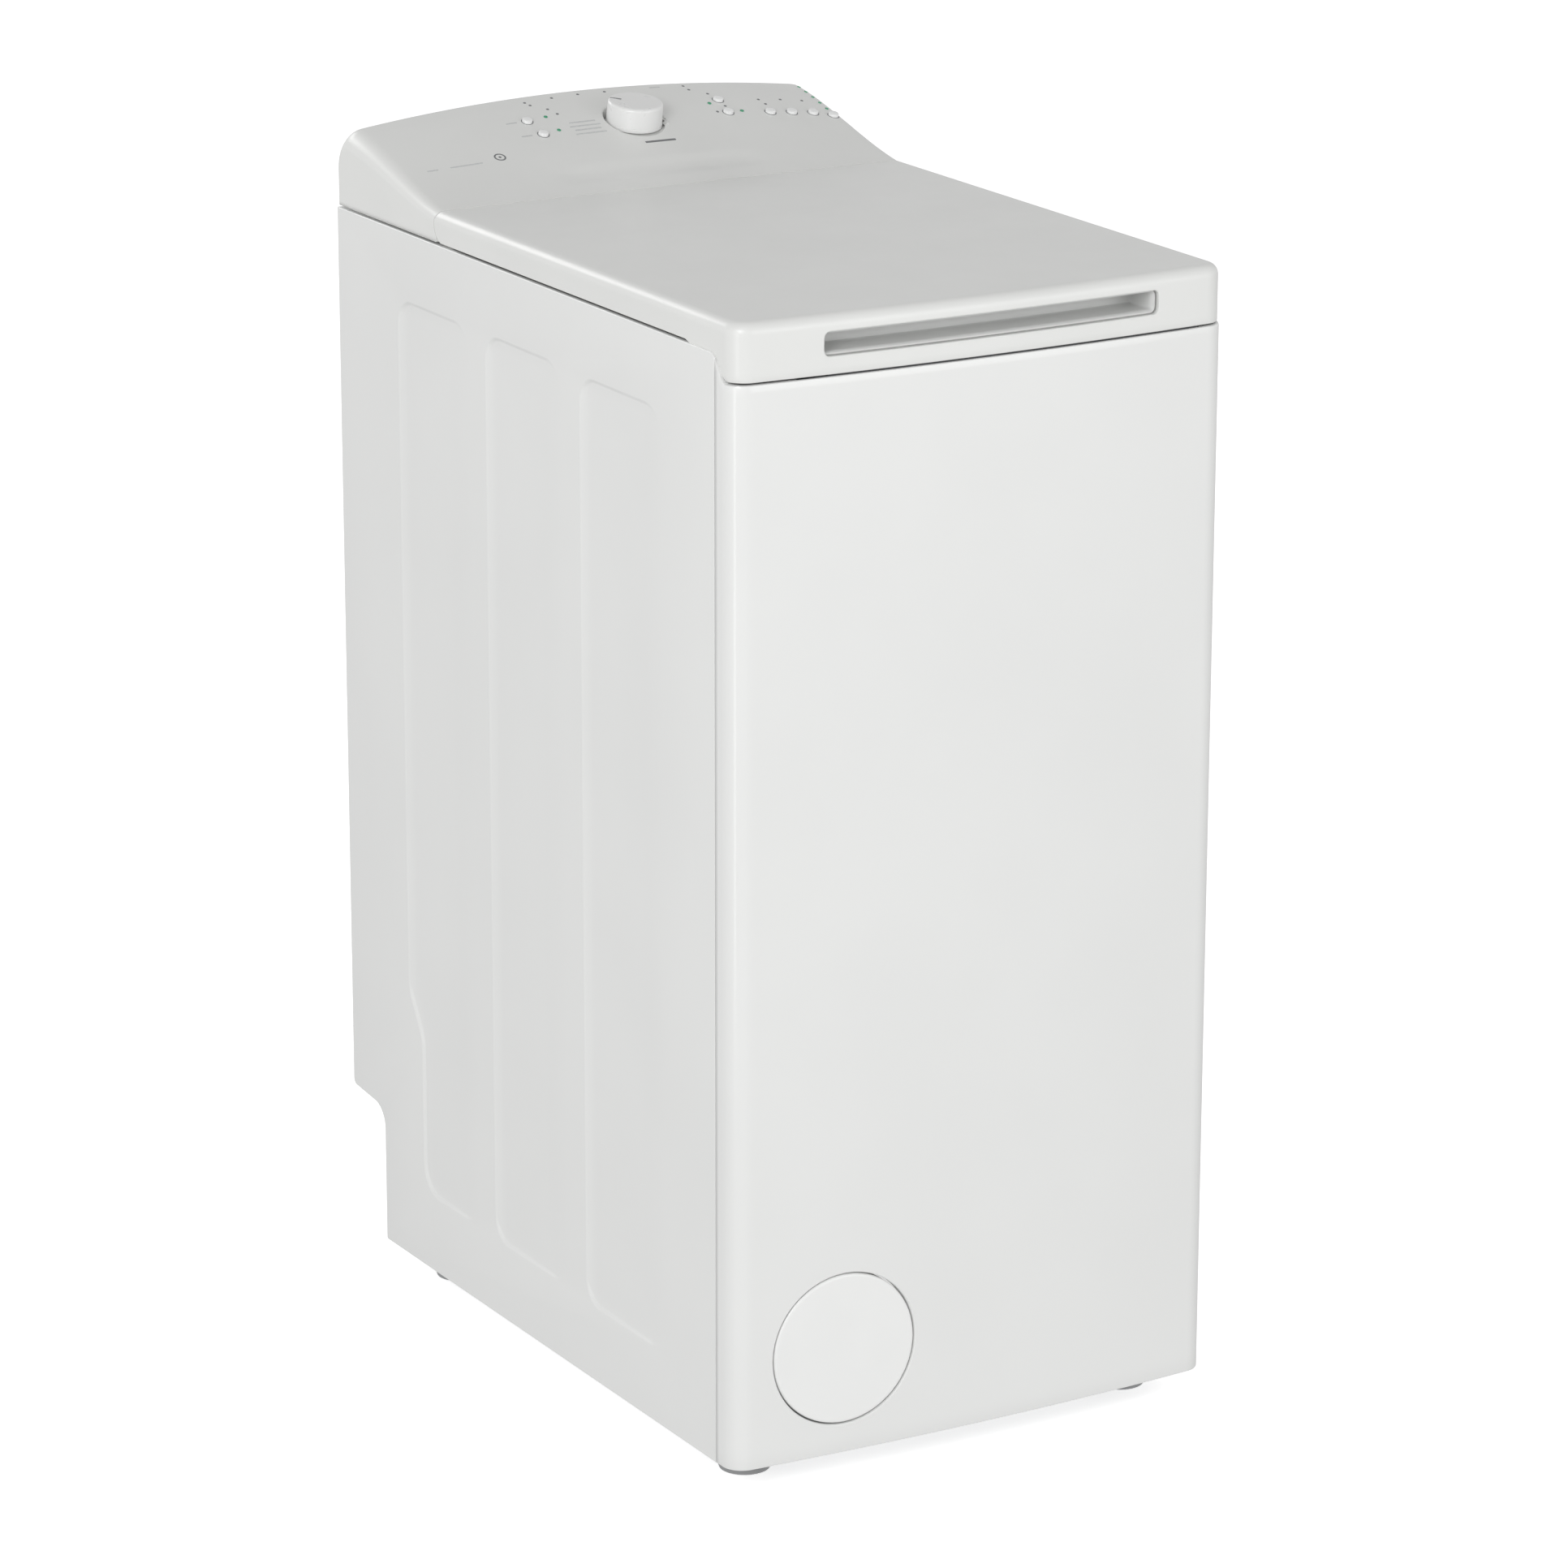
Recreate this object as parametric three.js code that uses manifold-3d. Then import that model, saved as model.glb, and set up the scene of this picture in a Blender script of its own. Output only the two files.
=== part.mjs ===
// A slim top load washing machine, 400 x 600 x 900 mm, as an assembly of separate pieces.
// Units are millimetres. +X is the machine's right side, +Y its rear, +Z up.
// The origin is on the floor, under the middle of the cabinet.
import * as THREE from "three";
import { mergeVertices } from "three/addons/utils/BufferGeometryUtils.js";
import Module from "manifold-3d";

// ---------------------------------------------------------------- driving dimensions

const HALF_WIDTH = 200;
const FRONT_Y = -300;
const REAR_Y = 300;
const FRONT_BOW = 7.5; // how far the front bulges, between its middle and its corners
const CORNER_RADIUS = 16;
const SHEET = 1.2;
const GAP = 0.3; // between pieces that touch

const CABINET_BOTTOM = 21;
const SIDE_TOP = 826;
const FRONT_TOP = 807;
const LID_TOP = 850;
const LID_GAP = 1.5;
const SEAM_Y = -268.7; // where the front panel meets the side panels

const TOE_Y = 247; // rear end of the cabinet at floor level
const TOE_TOP = 133;

const REAR_PANEL_Y = 285;
const TOP_HALF_WIDTH = HALF_WIDTH - 1.6; // lid and console stand just inside the side panels

const LID_WALL = 3;
const LID_EDGE_RADIUS = 8;
const STEP_START = -264; // the lid's skirt steps down in front of this
const STEP_END = -282;
const HINGE = { y: 131, z: 841 };
const LID_END_RADIUS = 13.8; // the lid's rear end is round about its hinge
const LID_REAR = HINGE.y + LID_END_RADIUS;
const SWING_GAP = 0.6; // between the lid's round end and the console's hollow front
const TOWER = { x: 180, halfWidth: 4, radius: 4.5, bore: 2.8 }; // they hold the lid's hinge pins
const PIN = { x: 170, end: 184, radius: 2.5 };
const SLOT = { x: [-130, 140], z: [821, 838], depth: 34 }; // the lid's handle
const LOCK = { x: [50, 105], y: [-276, -238] };
const TRAY = { halfX: 105, y: [22, 90], z: [798, 828.7], wall: 2.5 };

const CONSOLE_FRONT = 143.5; // the slope starts here
const CONSOLE_TOE = 135; // the front wall's lower end lies under the lid's round end
const CONSOLE_REAR = 299.5;
const CONSOLE_WALL = 3;
const CREST_Y = 284;
const CREST_SIDE = 884;
const CREST_RISE = 14;
const PANEL_TILT = THREE.MathUtils.degToRad(18);

const FIELDS = [ // the side panels' pressed fields
  { y: [90, 204], z: [81, 776] },
  { y: [-50, 66], z: [80, 776] },
  { y: [-195, -76], z: [78, 774] },
];
const FIELD_DEPTH = 1.5;
const FIELD_RADIUS = 22;

const INLET = { x: -130, z: 776, thread: 13.9 };
const OUTLET = { x: -150, z: 220, radius: 12.5, bore: 8.5 };
const GLAND = { x: 150, z: 220, radius: 9, bore: 4 };

const DECK_TOP = 814;
const DECK_THICKNESS = 3;
const COLLAR_BOTTOM = 776;
const LOAD_HALF_X = 112;
const LOAD_HALF_Y = 117;

const DRUM_Y = -10; // the drum turns about an axis along X through this point
const DRUM_Z = 480;
const DRUM_RADIUS = 232;
const DRUM_WALL = 2;
const DRUM_HALF = 138;
const DOOR_HALF_X = 92;
const DOOR_ANGLE = THREE.MathUtils.degToRad(27);
const TUB_INNER = 246;
const TUB_OUTER = 252;
const TUB_HALF = 156;
const NECK_TOP = 752;
const SHAFT_RADIUS = 12;
const BEARING_RADIUS = 26;

const HEATER = { y: 25, z: -238.2, radius: 3.2 }; // from the drum's axis
const SPIGOT = { x: -104, y: -130, bottom: 240, radius: 15 }; // the outlet under the tub

const PULLEY_RADIUS = 120;
const PULLEY_X = 184; // middle of the belt's plane
const MOTOR_Y = 155;
const MOTOR_Z = 140;
const MOTOR_PULLEY_RADIUS = 11;
const BELT_THICKNESS = 3;
const BELT_WIDTH = 10;

const FILTER_X = -111;
const FILTER_Z = 100;
const COVER_RADIUS = 56;
const PUMP = { mouth: -258, rear: -120 };

const KNOB = { x: 18, y: 236, radius: 21, height: 19.3 };
const KNOB_TILT = THREE.MathUtils.degToRad(10); // the knob leans less than the panel does
const KNOB_RECESS = 23.2;
const CUP_WALL = 3;
const BUTTON_RADIUS = 4;
const BUTTONS = [
  { x: -66, y: 249 },
  { x: -62.5, y: 230 },
  { x: 101, y: 254 },
  { x: 99.5, y: 235.5 },
  { x: 135, y: 233 },
  { x: 153, y: 231.5 },
  { x: 171, y: 230 },
  { x: 186, y: 225 },
];
const BOARD = { x: 40, y: 238, below: 22, halfX: 152, halfY: 24, thickness: 1.6 };

const FOOT_X = 160;
const FOOT_FRONT_Y = -240;
const FOOT_REAR_Y = 200;
const FOOT_RADIUS = 19;
const STEM_RADIUS = 5;

const RAIL_Z = [796, 808];
const RAIL_Y = { front: DRUM_Y - 180, rear: DRUM_Y + 180 };
const SPRING_X = 170;
const LUG_Z = 592; // top of the tub's lugs, where the springs hook in
const DAMPERS = { front: { x: 100, y: -180 }, rear: { x: -100, y: 170 } };

// ---------------------------------------------------------------- finishes

const finish = (color, roughness, metalness) =>
  new THREE.MeshStandardMaterial({ color, roughness, metalness });
const FINISH = {
  enamel: finish(0xf1f2f0, 0.28, 0.1),
  whitePlastic: finish(0xf0f1ee, 0.35, 0),
  greyPlastic: finish(0xb9bdbd, 0.5, 0),
  darkPlastic: finish(0x2b2d30, 0.55, 0),
  zinc: finish(0xa9adb0, 0.45, 0.9),
  stainless: finish(0xc9cbcc, 0.25, 1),
  rubber: finish(0x55585a, 0.9, 0),
  tubPlastic: finish(0xd9dbd8, 0.55, 0),
  concrete: finish(0x9b9a94, 0.95, 0),
  board: finish(0x2f6b46, 0.5, 0),
  motorBlack: finish(0x35373a, 0.5, 0.4),
};

// ---------------------------------------------------------------- solids

const wasm = await Module();
wasm.setup();

// A solid from closed triangles, with its faces turned outwards.
function solidFrom(positions, triangles) {
  const make = () =>
    new wasm.Manifold(
      new wasm.Mesh({ numProp: 3, vertProperties: positions, triVerts: triangles }),
    );
  const made = make();
  if (made.volume() > 0) return made;
  for (let i = 0; i < triangles.length; i += 3) {
    [triangles[i + 1], triangles[i + 2]] = [triangles[i + 2], triangles[i + 1]];
  }
  return make();
}

function solidOf(geometry) {
  const bare = geometry.clone();
  for (const name of Object.keys(bare.attributes)) {
    if (name !== "position") bare.deleteAttribute(name);
  }
  const merged = mergeVertices(bare, 1e-3);
  return solidFrom(merged.attributes.position.array, new Uint32Array(merged.index.array));
}

function geometryOf(solid) {
  const mesh = solid.getMesh();
  const positions = new Float32Array(mesh.numVert * 3);
  for (let i = 0; i < mesh.numVert; i++) {
    const start = i * mesh.numProp;
    positions.set(mesh.vertProperties.subarray(start, start + 3), i * 3);
  }
  const geometry = new THREE.BufferGeometry();
  geometry.setAttribute("position", new THREE.BufferAttribute(positions, 3));
  geometry.setIndex(new THREE.BufferAttribute(new Uint32Array(mesh.triVerts), 1));
  geometry.computeVertexNormals();
  return geometry;
}

const join = (...solids) => solids.reduce((all, one) => all.add(one));
const cut = (body, ...tools) => tools.reduce((left, tool) => left.subtract(tool), body);

// A box between two values along each axis.
function box([x0, x1], [y0, y1], [z0, z1]) {
  const geometry = new THREE.BoxGeometry(x1 - x0, y1 - y0, z1 - z0);
  return solidOf(geometry.translate((x0 + x1) / 2, (y0 + y1) / 2, (z0 + z1) / 2));
}

// Turns a geometry made along +Z so that it runs along the named axis.
function along(geometry, axis) {
  if (axis === "x") geometry.rotateY(Math.PI / 2);
  if (axis === "y") geometry.rotateX(-Math.PI / 2);
  return geometry;
}

// A round bar along an axis, between two values on it, through the point at.
function rod(axis, radius, [from, to], at, sides = 20) {
  const geometry = new THREE.CylinderGeometry(radius, radius, to - from, sides);
  geometry.rotateX(Math.PI / 2).translate(0, 0, (from + to) / 2);
  return solidOf(along(geometry, axis).translate(at.x ?? 0, at.y ?? 0, at.z ?? 0));
}

// A round bar square to a seat that is tilted about X.
function rodAt(seat, radius, [from, to], sides = 16) {
  const geometry = new THREE.CylinderGeometry(radius, radius, to - from, sides);
  geometry.rotateX(Math.PI / 2).translate(0, 0, (from + to) / 2);
  geometry.rotateX(seat.tilt).translate(seat.x, seat.y, seat.z);
  return solidOf(geometry);
}

const tube = (axis, outer, inner, span, at, sides = 20) =>
  cut(
    rod(axis, outer, span, at, sides),
    rod(axis, inner, [span[0] - 1, span[1] + 1], at, sides),
  );

// A profile in the Y-Z plane, pushed along X between two values.
function prismX(points, [from, to]) {
  const shape = new THREE.Shape(points.map(([y, z]) => new THREE.Vector2(y, z)));
  const geometry = new THREE.ExtrudeGeometry(shape, {
    depth: to - from,
    bevelEnabled: false,
  });
  const upright = new THREE.Matrix4().makeBasis(
    new THREE.Vector3(0, 1, 0),
    new THREE.Vector3(0, 0, 1),
    new THREE.Vector3(1, 0, 0),
  );
  return solidOf(geometry.applyMatrix4(upright).translate(from, 0, 0));
}

// A profile in the X-Y plane, raised along Z between two values.
function prismZ(points, [from, to]) {
  const shape = new THREE.Shape(points.map(([x, y]) => new THREE.Vector2(x, y)));
  const geometry = new THREE.ExtrudeGeometry(shape, {
    depth: to - from,
    bevelEnabled: false,
  });
  return solidOf(geometry.translate(0, 0, from));
}

// A profile of [radius, height] pairs turned about +Z. It starts and ends on the axis.
function turned(profile, sides = 20) {
  const points = profile.map(([r, h]) => new THREE.Vector2(r, h));
  return solidOf(new THREE.LatheGeometry(points, sides).rotateX(Math.PI / 2));
}

// A skin over rings of points. Each end is closed by a fan round the ring's middle.
function loft(rings) {
  const count = rings[0].length;
  const middle = (ring) =>
    ring.reduce((sum, p) => sum.add(p), new THREE.Vector3()).divideScalar(count);
  const points = [...rings.flat(), middle(rings[0]), middle(rings.at(-1))];
  const last = (rings.length - 1) * count;
  const [firstHub, lastHub] = [points.length - 2, points.length - 1];
  const index = [];
  for (let i = 0; i < count; i++) {
    const next = (i + 1) % count;
    for (let start = 0; start < last; start += count) {
      const [a, b] = [start + i, start + next];
      index.push(a, b, a + count, b, b + count, a + count);
    }
    index.push(next, i, firstHub, last + i, last + next, lastHub);
  }
  const positions = new Float32Array(points.flatMap((p) => p.toArray()));
  return solidFrom(positions, new Uint32Array(index));
}

// A tube along a smooth curve through points.
function hose(points, radius, steps, sides = 10) {
  const path = new THREE.CatmullRomCurve3(points.map((p) => new THREE.Vector3(...p)));
  const section = new THREE.Shape();
  section.absarc(0, 0, radius, 0, 2 * Math.PI);
  return solidOf(
    new THREE.ExtrudeGeometry(section, {
      extrudePath: path,
      steps,
      curveSegments: sides,
      bevelEnabled: false,
    }),
  );
}

function arc(cx, cy, radius, fromDegrees, toDegrees, steps) {
  const points = [];
  for (let i = 0; i <= steps; i++) {
    const angle = THREE.MathUtils.degToRad(
      fromDegrees + ((toDegrees - fromDegrees) * i) / steps,
    );
    points.push([cx + radius * Math.cos(angle), cy + radius * Math.sin(angle)]);
  }
  return points;
}

function roundedRectangle([x0, x1], [y0, y1], radius, steps = 5) {
  return [
    ...arc(x1 - radius, y0 + radius, radius, -90, 0, steps),
    ...arc(x1 - radius, y1 - radius, radius, 0, 90, steps),
    ...arc(x0 + radius, y1 - radius, radius, 90, 180, steps),
    ...arc(x0 + radius, y0 + radius, radius, 180, 270, steps),
  ];
}

// ---------------------------------------------------------------- shared outlines

// The machine's outline from above, with its bowed front, shrunk by inset on all four sides.
function planOutline(halfWidth, rear, inset) {
  const bowSteps = 10;
  const half = halfWidth - inset;
  const radius = CORNER_RADIUS - inset;
  const straight = half - radius;
  const front = (x) => FRONT_Y + inset + FRONT_BOW * (x / HALF_WIDTH) ** 2;
  const cornerY = front(straight) + radius;
  const bow = [];
  for (let i = 1; i < bowSteps; i++) {
    const x = -straight + (2 * straight * i) / bowSteps;
    bow.push([x, front(x)]);
  }
  return [
    [half, rear - inset],
    [-half, rear - inset],
    ...arc(-straight, cornerY, radius, 180, 270, 5),
    ...bow,
    ...arc(straight, cornerY, radius, 270, 360, 5),
  ];
}

// The smooth step in the lid's lower edge, from the side's level down to the front's.
function stepCurve(offset) {
  const steps = 8;
  const points = [];
  for (let i = 0; i <= steps; i++) {
    const t = i / steps;
    const rise = t * t * (3 - 2 * t);
    points.push([
      STEP_END + t * (STEP_START - STEP_END),
      FRONT_TOP + offset + rise * (SIDE_TOP - FRONT_TOP),
    ]);
  }
  return points;
}

// The height of the control panel's top face.
function panelHeight(x, y) {
  const crest = CREST_SIDE + CREST_RISE * (1 - (x / HALF_WIDTH) ** 2);
  const t = Math.min(Math.max((y - CONSOLE_FRONT) / (CREST_Y - CONSOLE_FRONT), 0), 1);
  const ramp = 0.65 * t + 0.35 * t * t * (3 - 2 * t);
  const edgeRadius = LID_EDGE_RADIUS + 6 * t;
  const u = Math.max(0, (Math.abs(x) - TOP_HALF_WIDTH + edgeRadius) / edgeRadius);
  const drop = edgeRadius * (1 - Math.sqrt(Math.max(0, 1 - u * u)));
  return LID_TOP + (crest - LID_TOP) * ramp - drop;
}

// ---------------------------------------------------------------- cabinet

// A side panel with three shallow pressed fields, made for the left side and mirrored for the right.
function sidePanel(side) {
  const notchRadius = 18;
  const outline = [
    [SEAM_Y + GAP, CABINET_BOTTOM],
    [TOE_Y, CABINET_BOTTOM],
    ...arc(TOE_Y + notchRadius, TOE_TOP - notchRadius, notchRadius, 180, 90, 5),
    [REAR_Y, TOE_TOP],
    [REAR_Y, SIDE_TOP],
    [SEAM_Y + GAP, SIDE_TOP],
  ];
  const outside = -HALF_WIDTH;
  const inside = outside + SHEET;
  const fieldShape = ({ y, z }, grow) =>
    roundedRectangle(
      [y[0] - grow, y[1] + grow],
      [z[0] - grow, z[1] + grow],
      FIELD_RADIUS + grow,
      4,
    );
  const backs = FIELDS.map((f) =>
    prismX(fieldShape(f, SHEET), [outside + 0.2, inside + FIELD_DEPTH]),
  );
  const pockets = FIELDS.map((f) =>
    prismX(fieldShape(f, 0), [outside - 1, outside + FIELD_DEPTH]),
  );
  const flangeTop = DECK_TOP - 8;
  const frontFlangeY = [SEAM_Y + GAP, SEAM_Y + GAP + SHEET];
  const rearFlangeY = [REAR_PANEL_Y - 2 * SHEET - GAP, REAR_PANEL_Y - SHEET - GAP];
  const flanges = [
    box([inside - 0.1, outside + 20], frontFlangeY, [CABINET_BOTTOM + 35, flangeTop]),
    box([inside - 0.1, outside + 16], rearFlangeY, [TOE_TOP + 5, flangeTop]),
  ];
  const above = prismX(
    [...stepCurve(0), [STEP_START, SIDE_TOP + 9], [STEP_END, SIDE_TOP + 9]],
    [-HALF_WIDTH - 5, -HALF_WIDTH + 30],
  );
  const sheet = join(prismX(outline, [outside, inside]), ...backs, ...flanges);
  const panel = cut(sheet, ...pockets, above);
  return side < 0 ? panel : panel.mirror([1, 0, 0]);
}

// One sheet that forms the bowed front, wraps both corners and is bent inwards at the seams.
function frontPanel() {
  const lip = 12;
  const outer = planOutline(HALF_WIDTH, SEAM_Y, 0);
  const inner = planOutline(HALF_WIDTH, SEAM_Y + SHEET, SHEET);
  const profile = [
    ...outer.slice(1),
    outer[0],
    [HALF_WIDTH - lip, SEAM_Y],
    [HALF_WIDTH - lip, SEAM_Y - SHEET],
    [HALF_WIDTH - SHEET, SEAM_Y - SHEET],
    ...inner.slice(2).reverse(),
    [-HALF_WIDTH + SHEET, SEAM_Y - SHEET],
    [-HALF_WIDTH + lip, SEAM_Y - SHEET],
    [-HALF_WIDTH + lip, SEAM_Y],
  ];
  const above = prismX(
    [
      [FRONT_Y - 9, FRONT_TOP],
      ...stepCurve(0),
      [STEP_START, SIDE_TOP + 9],
      [FRONT_Y - 9, SIDE_TOP + 9],
    ],
    [-HALF_WIDTH - 9, HALF_WIDTH + 9],
  );
  const filterAt = { x: FILTER_X, z: FILTER_Z };
  const filterHole = rod("y", COVER_RADIUS + 1, [FRONT_Y - 9, FRONT_Y + 20], filterAt, 48);
  return cut(prismZ(profile, [CABINET_BOTTOM, SIDE_TOP]), above, filterHole);
}

function rearPanel() {
  const inner = REAR_PANEL_Y - SHEET;
  const sheet = box([-198, 198], [inner, REAR_PANEL_Y], [TOE_TOP + 2, SIDE_TOP]);
  const hole = (radius, { x, z }) => rod("y", radius, [inner - 14, REAR_Y], { x, z });
  const holes = [
    hole(INLET.thread + 0.6, INLET),
    hole(OUTLET.radius + 1, OUTLET),
    hole(GLAND.radius + 0.5, GLAND),
  ];
  const stiffeners = [-70, 40].map((x) => box([x, x + 30], [inner - 3, inner + 0.1], [200, 740]));
  return cut(join(sheet, ...stiffeners), ...holes);
}

// The folded steel frame that carries the feet and dampers and closes the toe space behind.
function baseFrame() {
  const x = [-HALF_WIDTH + SHEET + GAP, HALF_WIDTH - SHEET - GAP];
  const y = [SEAM_Y + 2, TOE_Y - SHEET - GAP];
  const wall = 1.5;
  const z = [CABINET_BOTTOM + 1, CABINET_BOTTOM + 31];
  const floor = [z[0] - 1, z[0] + 5];
  const tray = cut(
    box(x, y, z),
    box([x[0] + wall, x[1] - wall], [y[0] + wall, y[1] - wall], [z[0] + wall, z[1] + 1]),
    box([-130, 130], [-210, 170], floor),
  );
  const rails = Object.values(DAMPERS).map((d) =>
    box([-140, 140], [d.y - 16, d.y + 16], [z[0], z[0] + wall + 1]),
  );
  const stemHoles = [FOOT_FRONT_Y, FOOT_REAR_Y].flatMap((fy) =>
    [-FOOT_X, FOOT_X].map((fx) => rod("z", STEM_RADIUS + 0.5, floor, { x: fx, y: fy }, 16)),
  );
  const toe = prismX(
    [
      [y[1] - wall, z[0]],
      [y[1], z[0]],
      [y[1], TOE_TOP - wall - GAP],
      [REAR_PANEL_Y, TOE_TOP - wall - GAP],
      [REAR_PANEL_Y, TOE_TOP - GAP],
      [y[1] - wall, TOE_TOP - GAP],
    ],
    x,
  );
  return cut(join(tray, ...rails, toe), ...stemHoles);
}

// The plastic frame under the lid: a deck with the loading collar and two hinge towers.
function worktopFrame() {
  const deckZ = [DECK_TOP - DECK_THICKNESS, DECK_TOP];
  const deck = prismZ(planOutline(HALF_WIDTH, REAR_PANEL_Y - 6, 6), deckZ);
  const load = (grow, z) =>
    prismZ(
      roundedRectangle(
        [-LOAD_HALF_X - grow, LOAD_HALF_X + grow],
        [DRUM_Y - LOAD_HALF_Y - grow, DRUM_Y + LOAD_HALF_Y + grow],
        24 + grow,
      ),
      z,
    );
  const collar = load(3, [COLLAR_BOTTOM, DECK_TOP]);
  const towers = [-1, 1].map((side) => {
    const x = [side * TOWER.x - TOWER.halfWidth, side * TOWER.x + TOWER.halfWidth];
    const post = box(x, [HINGE.y - TOWER.radius, HINGE.y + TOWER.radius], [DECK_TOP - 1, HINGE.z]);
    const eye = rod("x", TOWER.radius, x, HINGE);
    return cut(join(post, eye), rod("x", TOWER.bore, [x[0] - 1, x[1] + 1], HINGE, 16));
  });
  const throughDeck = [DECK_TOP - 14, DECK_TOP + 16];
  const seamNotches = [-1, 1].map((side) =>
    box(side < 0 ? [-201, -187] : [187, 201], [SEAM_Y - 3, SEAM_Y + 3], throughDeck),
  );
  const lockSlot = box([LOCK.x[0] + 16, LOCK.x[1] - 16], [LOCK.y[0] + 10, LOCK.y[1] - 8], throughDeck);
  const opening = load(0, [COLLAR_BOTTOM - 1, DECK_TOP + 1]);
  return cut(join(deck, collar, ...towers), opening, lockSlot, ...seamNotches);
}

// The steel frame round the cabinet's top from which the tub hangs.
function topFrame() {
  const x = HALF_WIDTH - SHEET - FIELD_DEPTH - SHEET - GAP;
  const wall = 1.5;
  const half = 12;
  const hollowZ = [RAIL_Z[0] - 1, RAIL_Z[1] - wall];
  const bars = Object.values(RAIL_Y).map((y) =>
    cut(
      box([-x, x], [y - half, y + half], RAIL_Z),
      box([-x - 1, x + 1], [y - half + wall, y + half - wall], hollowZ),
    ),
  );
  const sides = [-1, 1].map((side) =>
    box(side < 0 ? [-x, 3 - x] : [x - 3, x], [RAIL_Y.front, RAIL_Y.rear], RAIL_Z),
  );
  return join(...bars, ...sides);
}

// The console's outer skin, or with wall its hollow, as a loft of sections along X.
function consoleBody(wall) {
  const half = TOP_HALF_WIDTH - wall;
  const bottom = SIDE_TOP + LID_GAP - (wall ? 9 : 0);
  const rear = CONSOLE_REAR - wall;
  const crestDrop = 14;
  const section = (x) => {
    const toe = CONSOLE_TOE + wall;
    const points = [[toe, bottom], [toe, panelHeight(x, toe) - wall]];
    for (let i = 0; i <= 6; i++) {
      const y = CONSOLE_FRONT + ((CREST_Y - CONSOLE_FRONT) * i) / 6;
      points.push([y, panelHeight(x, y) - wall]);
    }
    const crest = panelHeight(x, CREST_Y) - wall;
    for (let i = 1; i <= 4; i++) {
      const angle = (Math.PI / 2) * (i / 4);
      const y = CREST_Y + (rear - CREST_Y) * Math.sin(angle);
      points.push([y, crest - crestDrop * (1 - Math.cos(angle))]);
    }
    points.push([rear, bottom]);
    return points.map(([y, z]) => new THREE.Vector3(x, y, z));
  };
  const edge = [0, 1.2, 4.5, 12].map((d) => half - d);
  const right = [...edge, 145, 95, 45].reverse();
  const xs = [...right.map((x) => -x).reverse(), 0, ...right];
  const swing = rod("x", LID_END_RADIUS + SWING_GAP + wall, [-HALF_WIDTH, HALF_WIDTH], HINGE, 64);
  return cut(loft(xs.map(section)), swing);
}

const buttonSeat = ({ x, y }) => ({ x, y, z: panelHeight(x, y), tilt: PANEL_TILT });

// The knob's seat is level with the panel in front of the knob, so it is sunk behind it.
const frontOfKnob = KNOB.y - KNOB_RECESS * Math.cos(KNOB_TILT);
const knobSeat = {
  x: KNOB.x,
  y: KNOB.y,
  z: panelHeight(KNOB.x, frontOfKnob) + KNOB_RECESS * Math.sin(KNOB_TILT),
  tilt: KNOB_TILT,
};

function consoleHousing() {
  const skin = consoleBody(0);
  const deepest = 12;
  const shaftHole = 5;
  const through = [-20, 20];
  const cup = rodAt(knobSeat, KNOB_RECESS + CUP_WALL, [-CUP_WALL, deepest], 48).intersect(skin);
  const holes = [
    rodAt(knobSeat, KNOB_RECESS, [0, 2 * deepest], 48),
    rodAt(knobSeat, shaftHole, through),
    ...BUTTONS.map((at) => rodAt(buttonSeat(at), BUTTON_RADIUS + 0.4, through)),
  ];
  return cut(join(cut(skin, consoleBody(CONSOLE_WALL)), cup), ...holes);
}

// The circuit board under the panel, with the selector's encoder, a connector and a relay.
// It is drawn flat about its own middle.
function controlBoard() {
  const plate = box([-BOARD.halfX, BOARD.halfX], [-BOARD.halfY, BOARD.halfY], [0, BOARD.thickness]);
  const place = (at) => ({ x: at.x - BOARD.x, y: (at.y - BOARD.y) / Math.cos(PANEL_TILT) });
  const encoder = place(KNOB);
  const parts = [
    box([encoder.x - 7, encoder.x + 7], [encoder.y - 7, encoder.y + 7], [1, 7]),
    box([-145, -115], [-15, 15], [1, 9]),
    box([60, 86], [-20, -4], [-9, 1]),
  ];
  return join(plate, ...parts);
}

// ---------------------------------------------------------------- services at the rear

// The solenoid valve, with its 3/4 inch male thread through the rear panel.
function inletValve() {
  const at = { x: INLET.x, z: INLET.z };
  const stub = tube("y", 13.2, 8, [262, 299], at);
  const thread = [288, 291.5, 295].map((y) => tube("y", INLET.thread, 12, [y, y + 1.6], at));
  const body = box([INLET.x - 20, INLET.x + 20], [232, 264], [INLET.z - 16, INLET.z + 16]);
  const coil = rod("z", 13, [INLET.z - 44, INLET.z - 15], { x: INLET.x, y: 247 });
  const spout = rod("x", 6, [INLET.x + 19, INLET.x + 36], { y: 246, z: INLET.z });
  return join(stub, ...thread, body, coil, spout);
}

function drainOutlet() {
  const at = { x: OUTLET.x, z: OUTLET.z };
  return cut(
    join(
      rod("y", 20, [REAR_PANEL_Y + GAP, REAR_PANEL_Y + 4], at),
      rod("y", 11, [262, 299], at),
      rod("y", OUTLET.radius, [293, 296], at),
    ),
    rod("y", OUTLET.bore, [270, REAR_Y], at),
  );
}

function cableGland() {
  const at = { x: GLAND.x, z: GLAND.z };
  return cut(
    join(
      rod("y", 14, [REAR_PANEL_Y + GAP, REAR_PANEL_Y + 4], at),
      rod("y", GLAND.radius, [276, 296], at),
      rod("y", 11.5, [278, REAR_PANEL_Y - SHEET - GAP], at),
    ),
    rod("y", GLAND.bore, [270, REAR_Y], at, 16),
  );
}

function lidLock() {
  const body = box(LOCK.x, LOCK.y, [778, DECK_TOP - DECK_THICKNESS - GAP]);
  const mouth = box([LOCK.x[0] + 14, LOCK.x[1] - 14], [LOCK.y[0] + 8, LOCK.y[1] - 6], [795, 820]);
  return cut(body, mouth);
}

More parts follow.
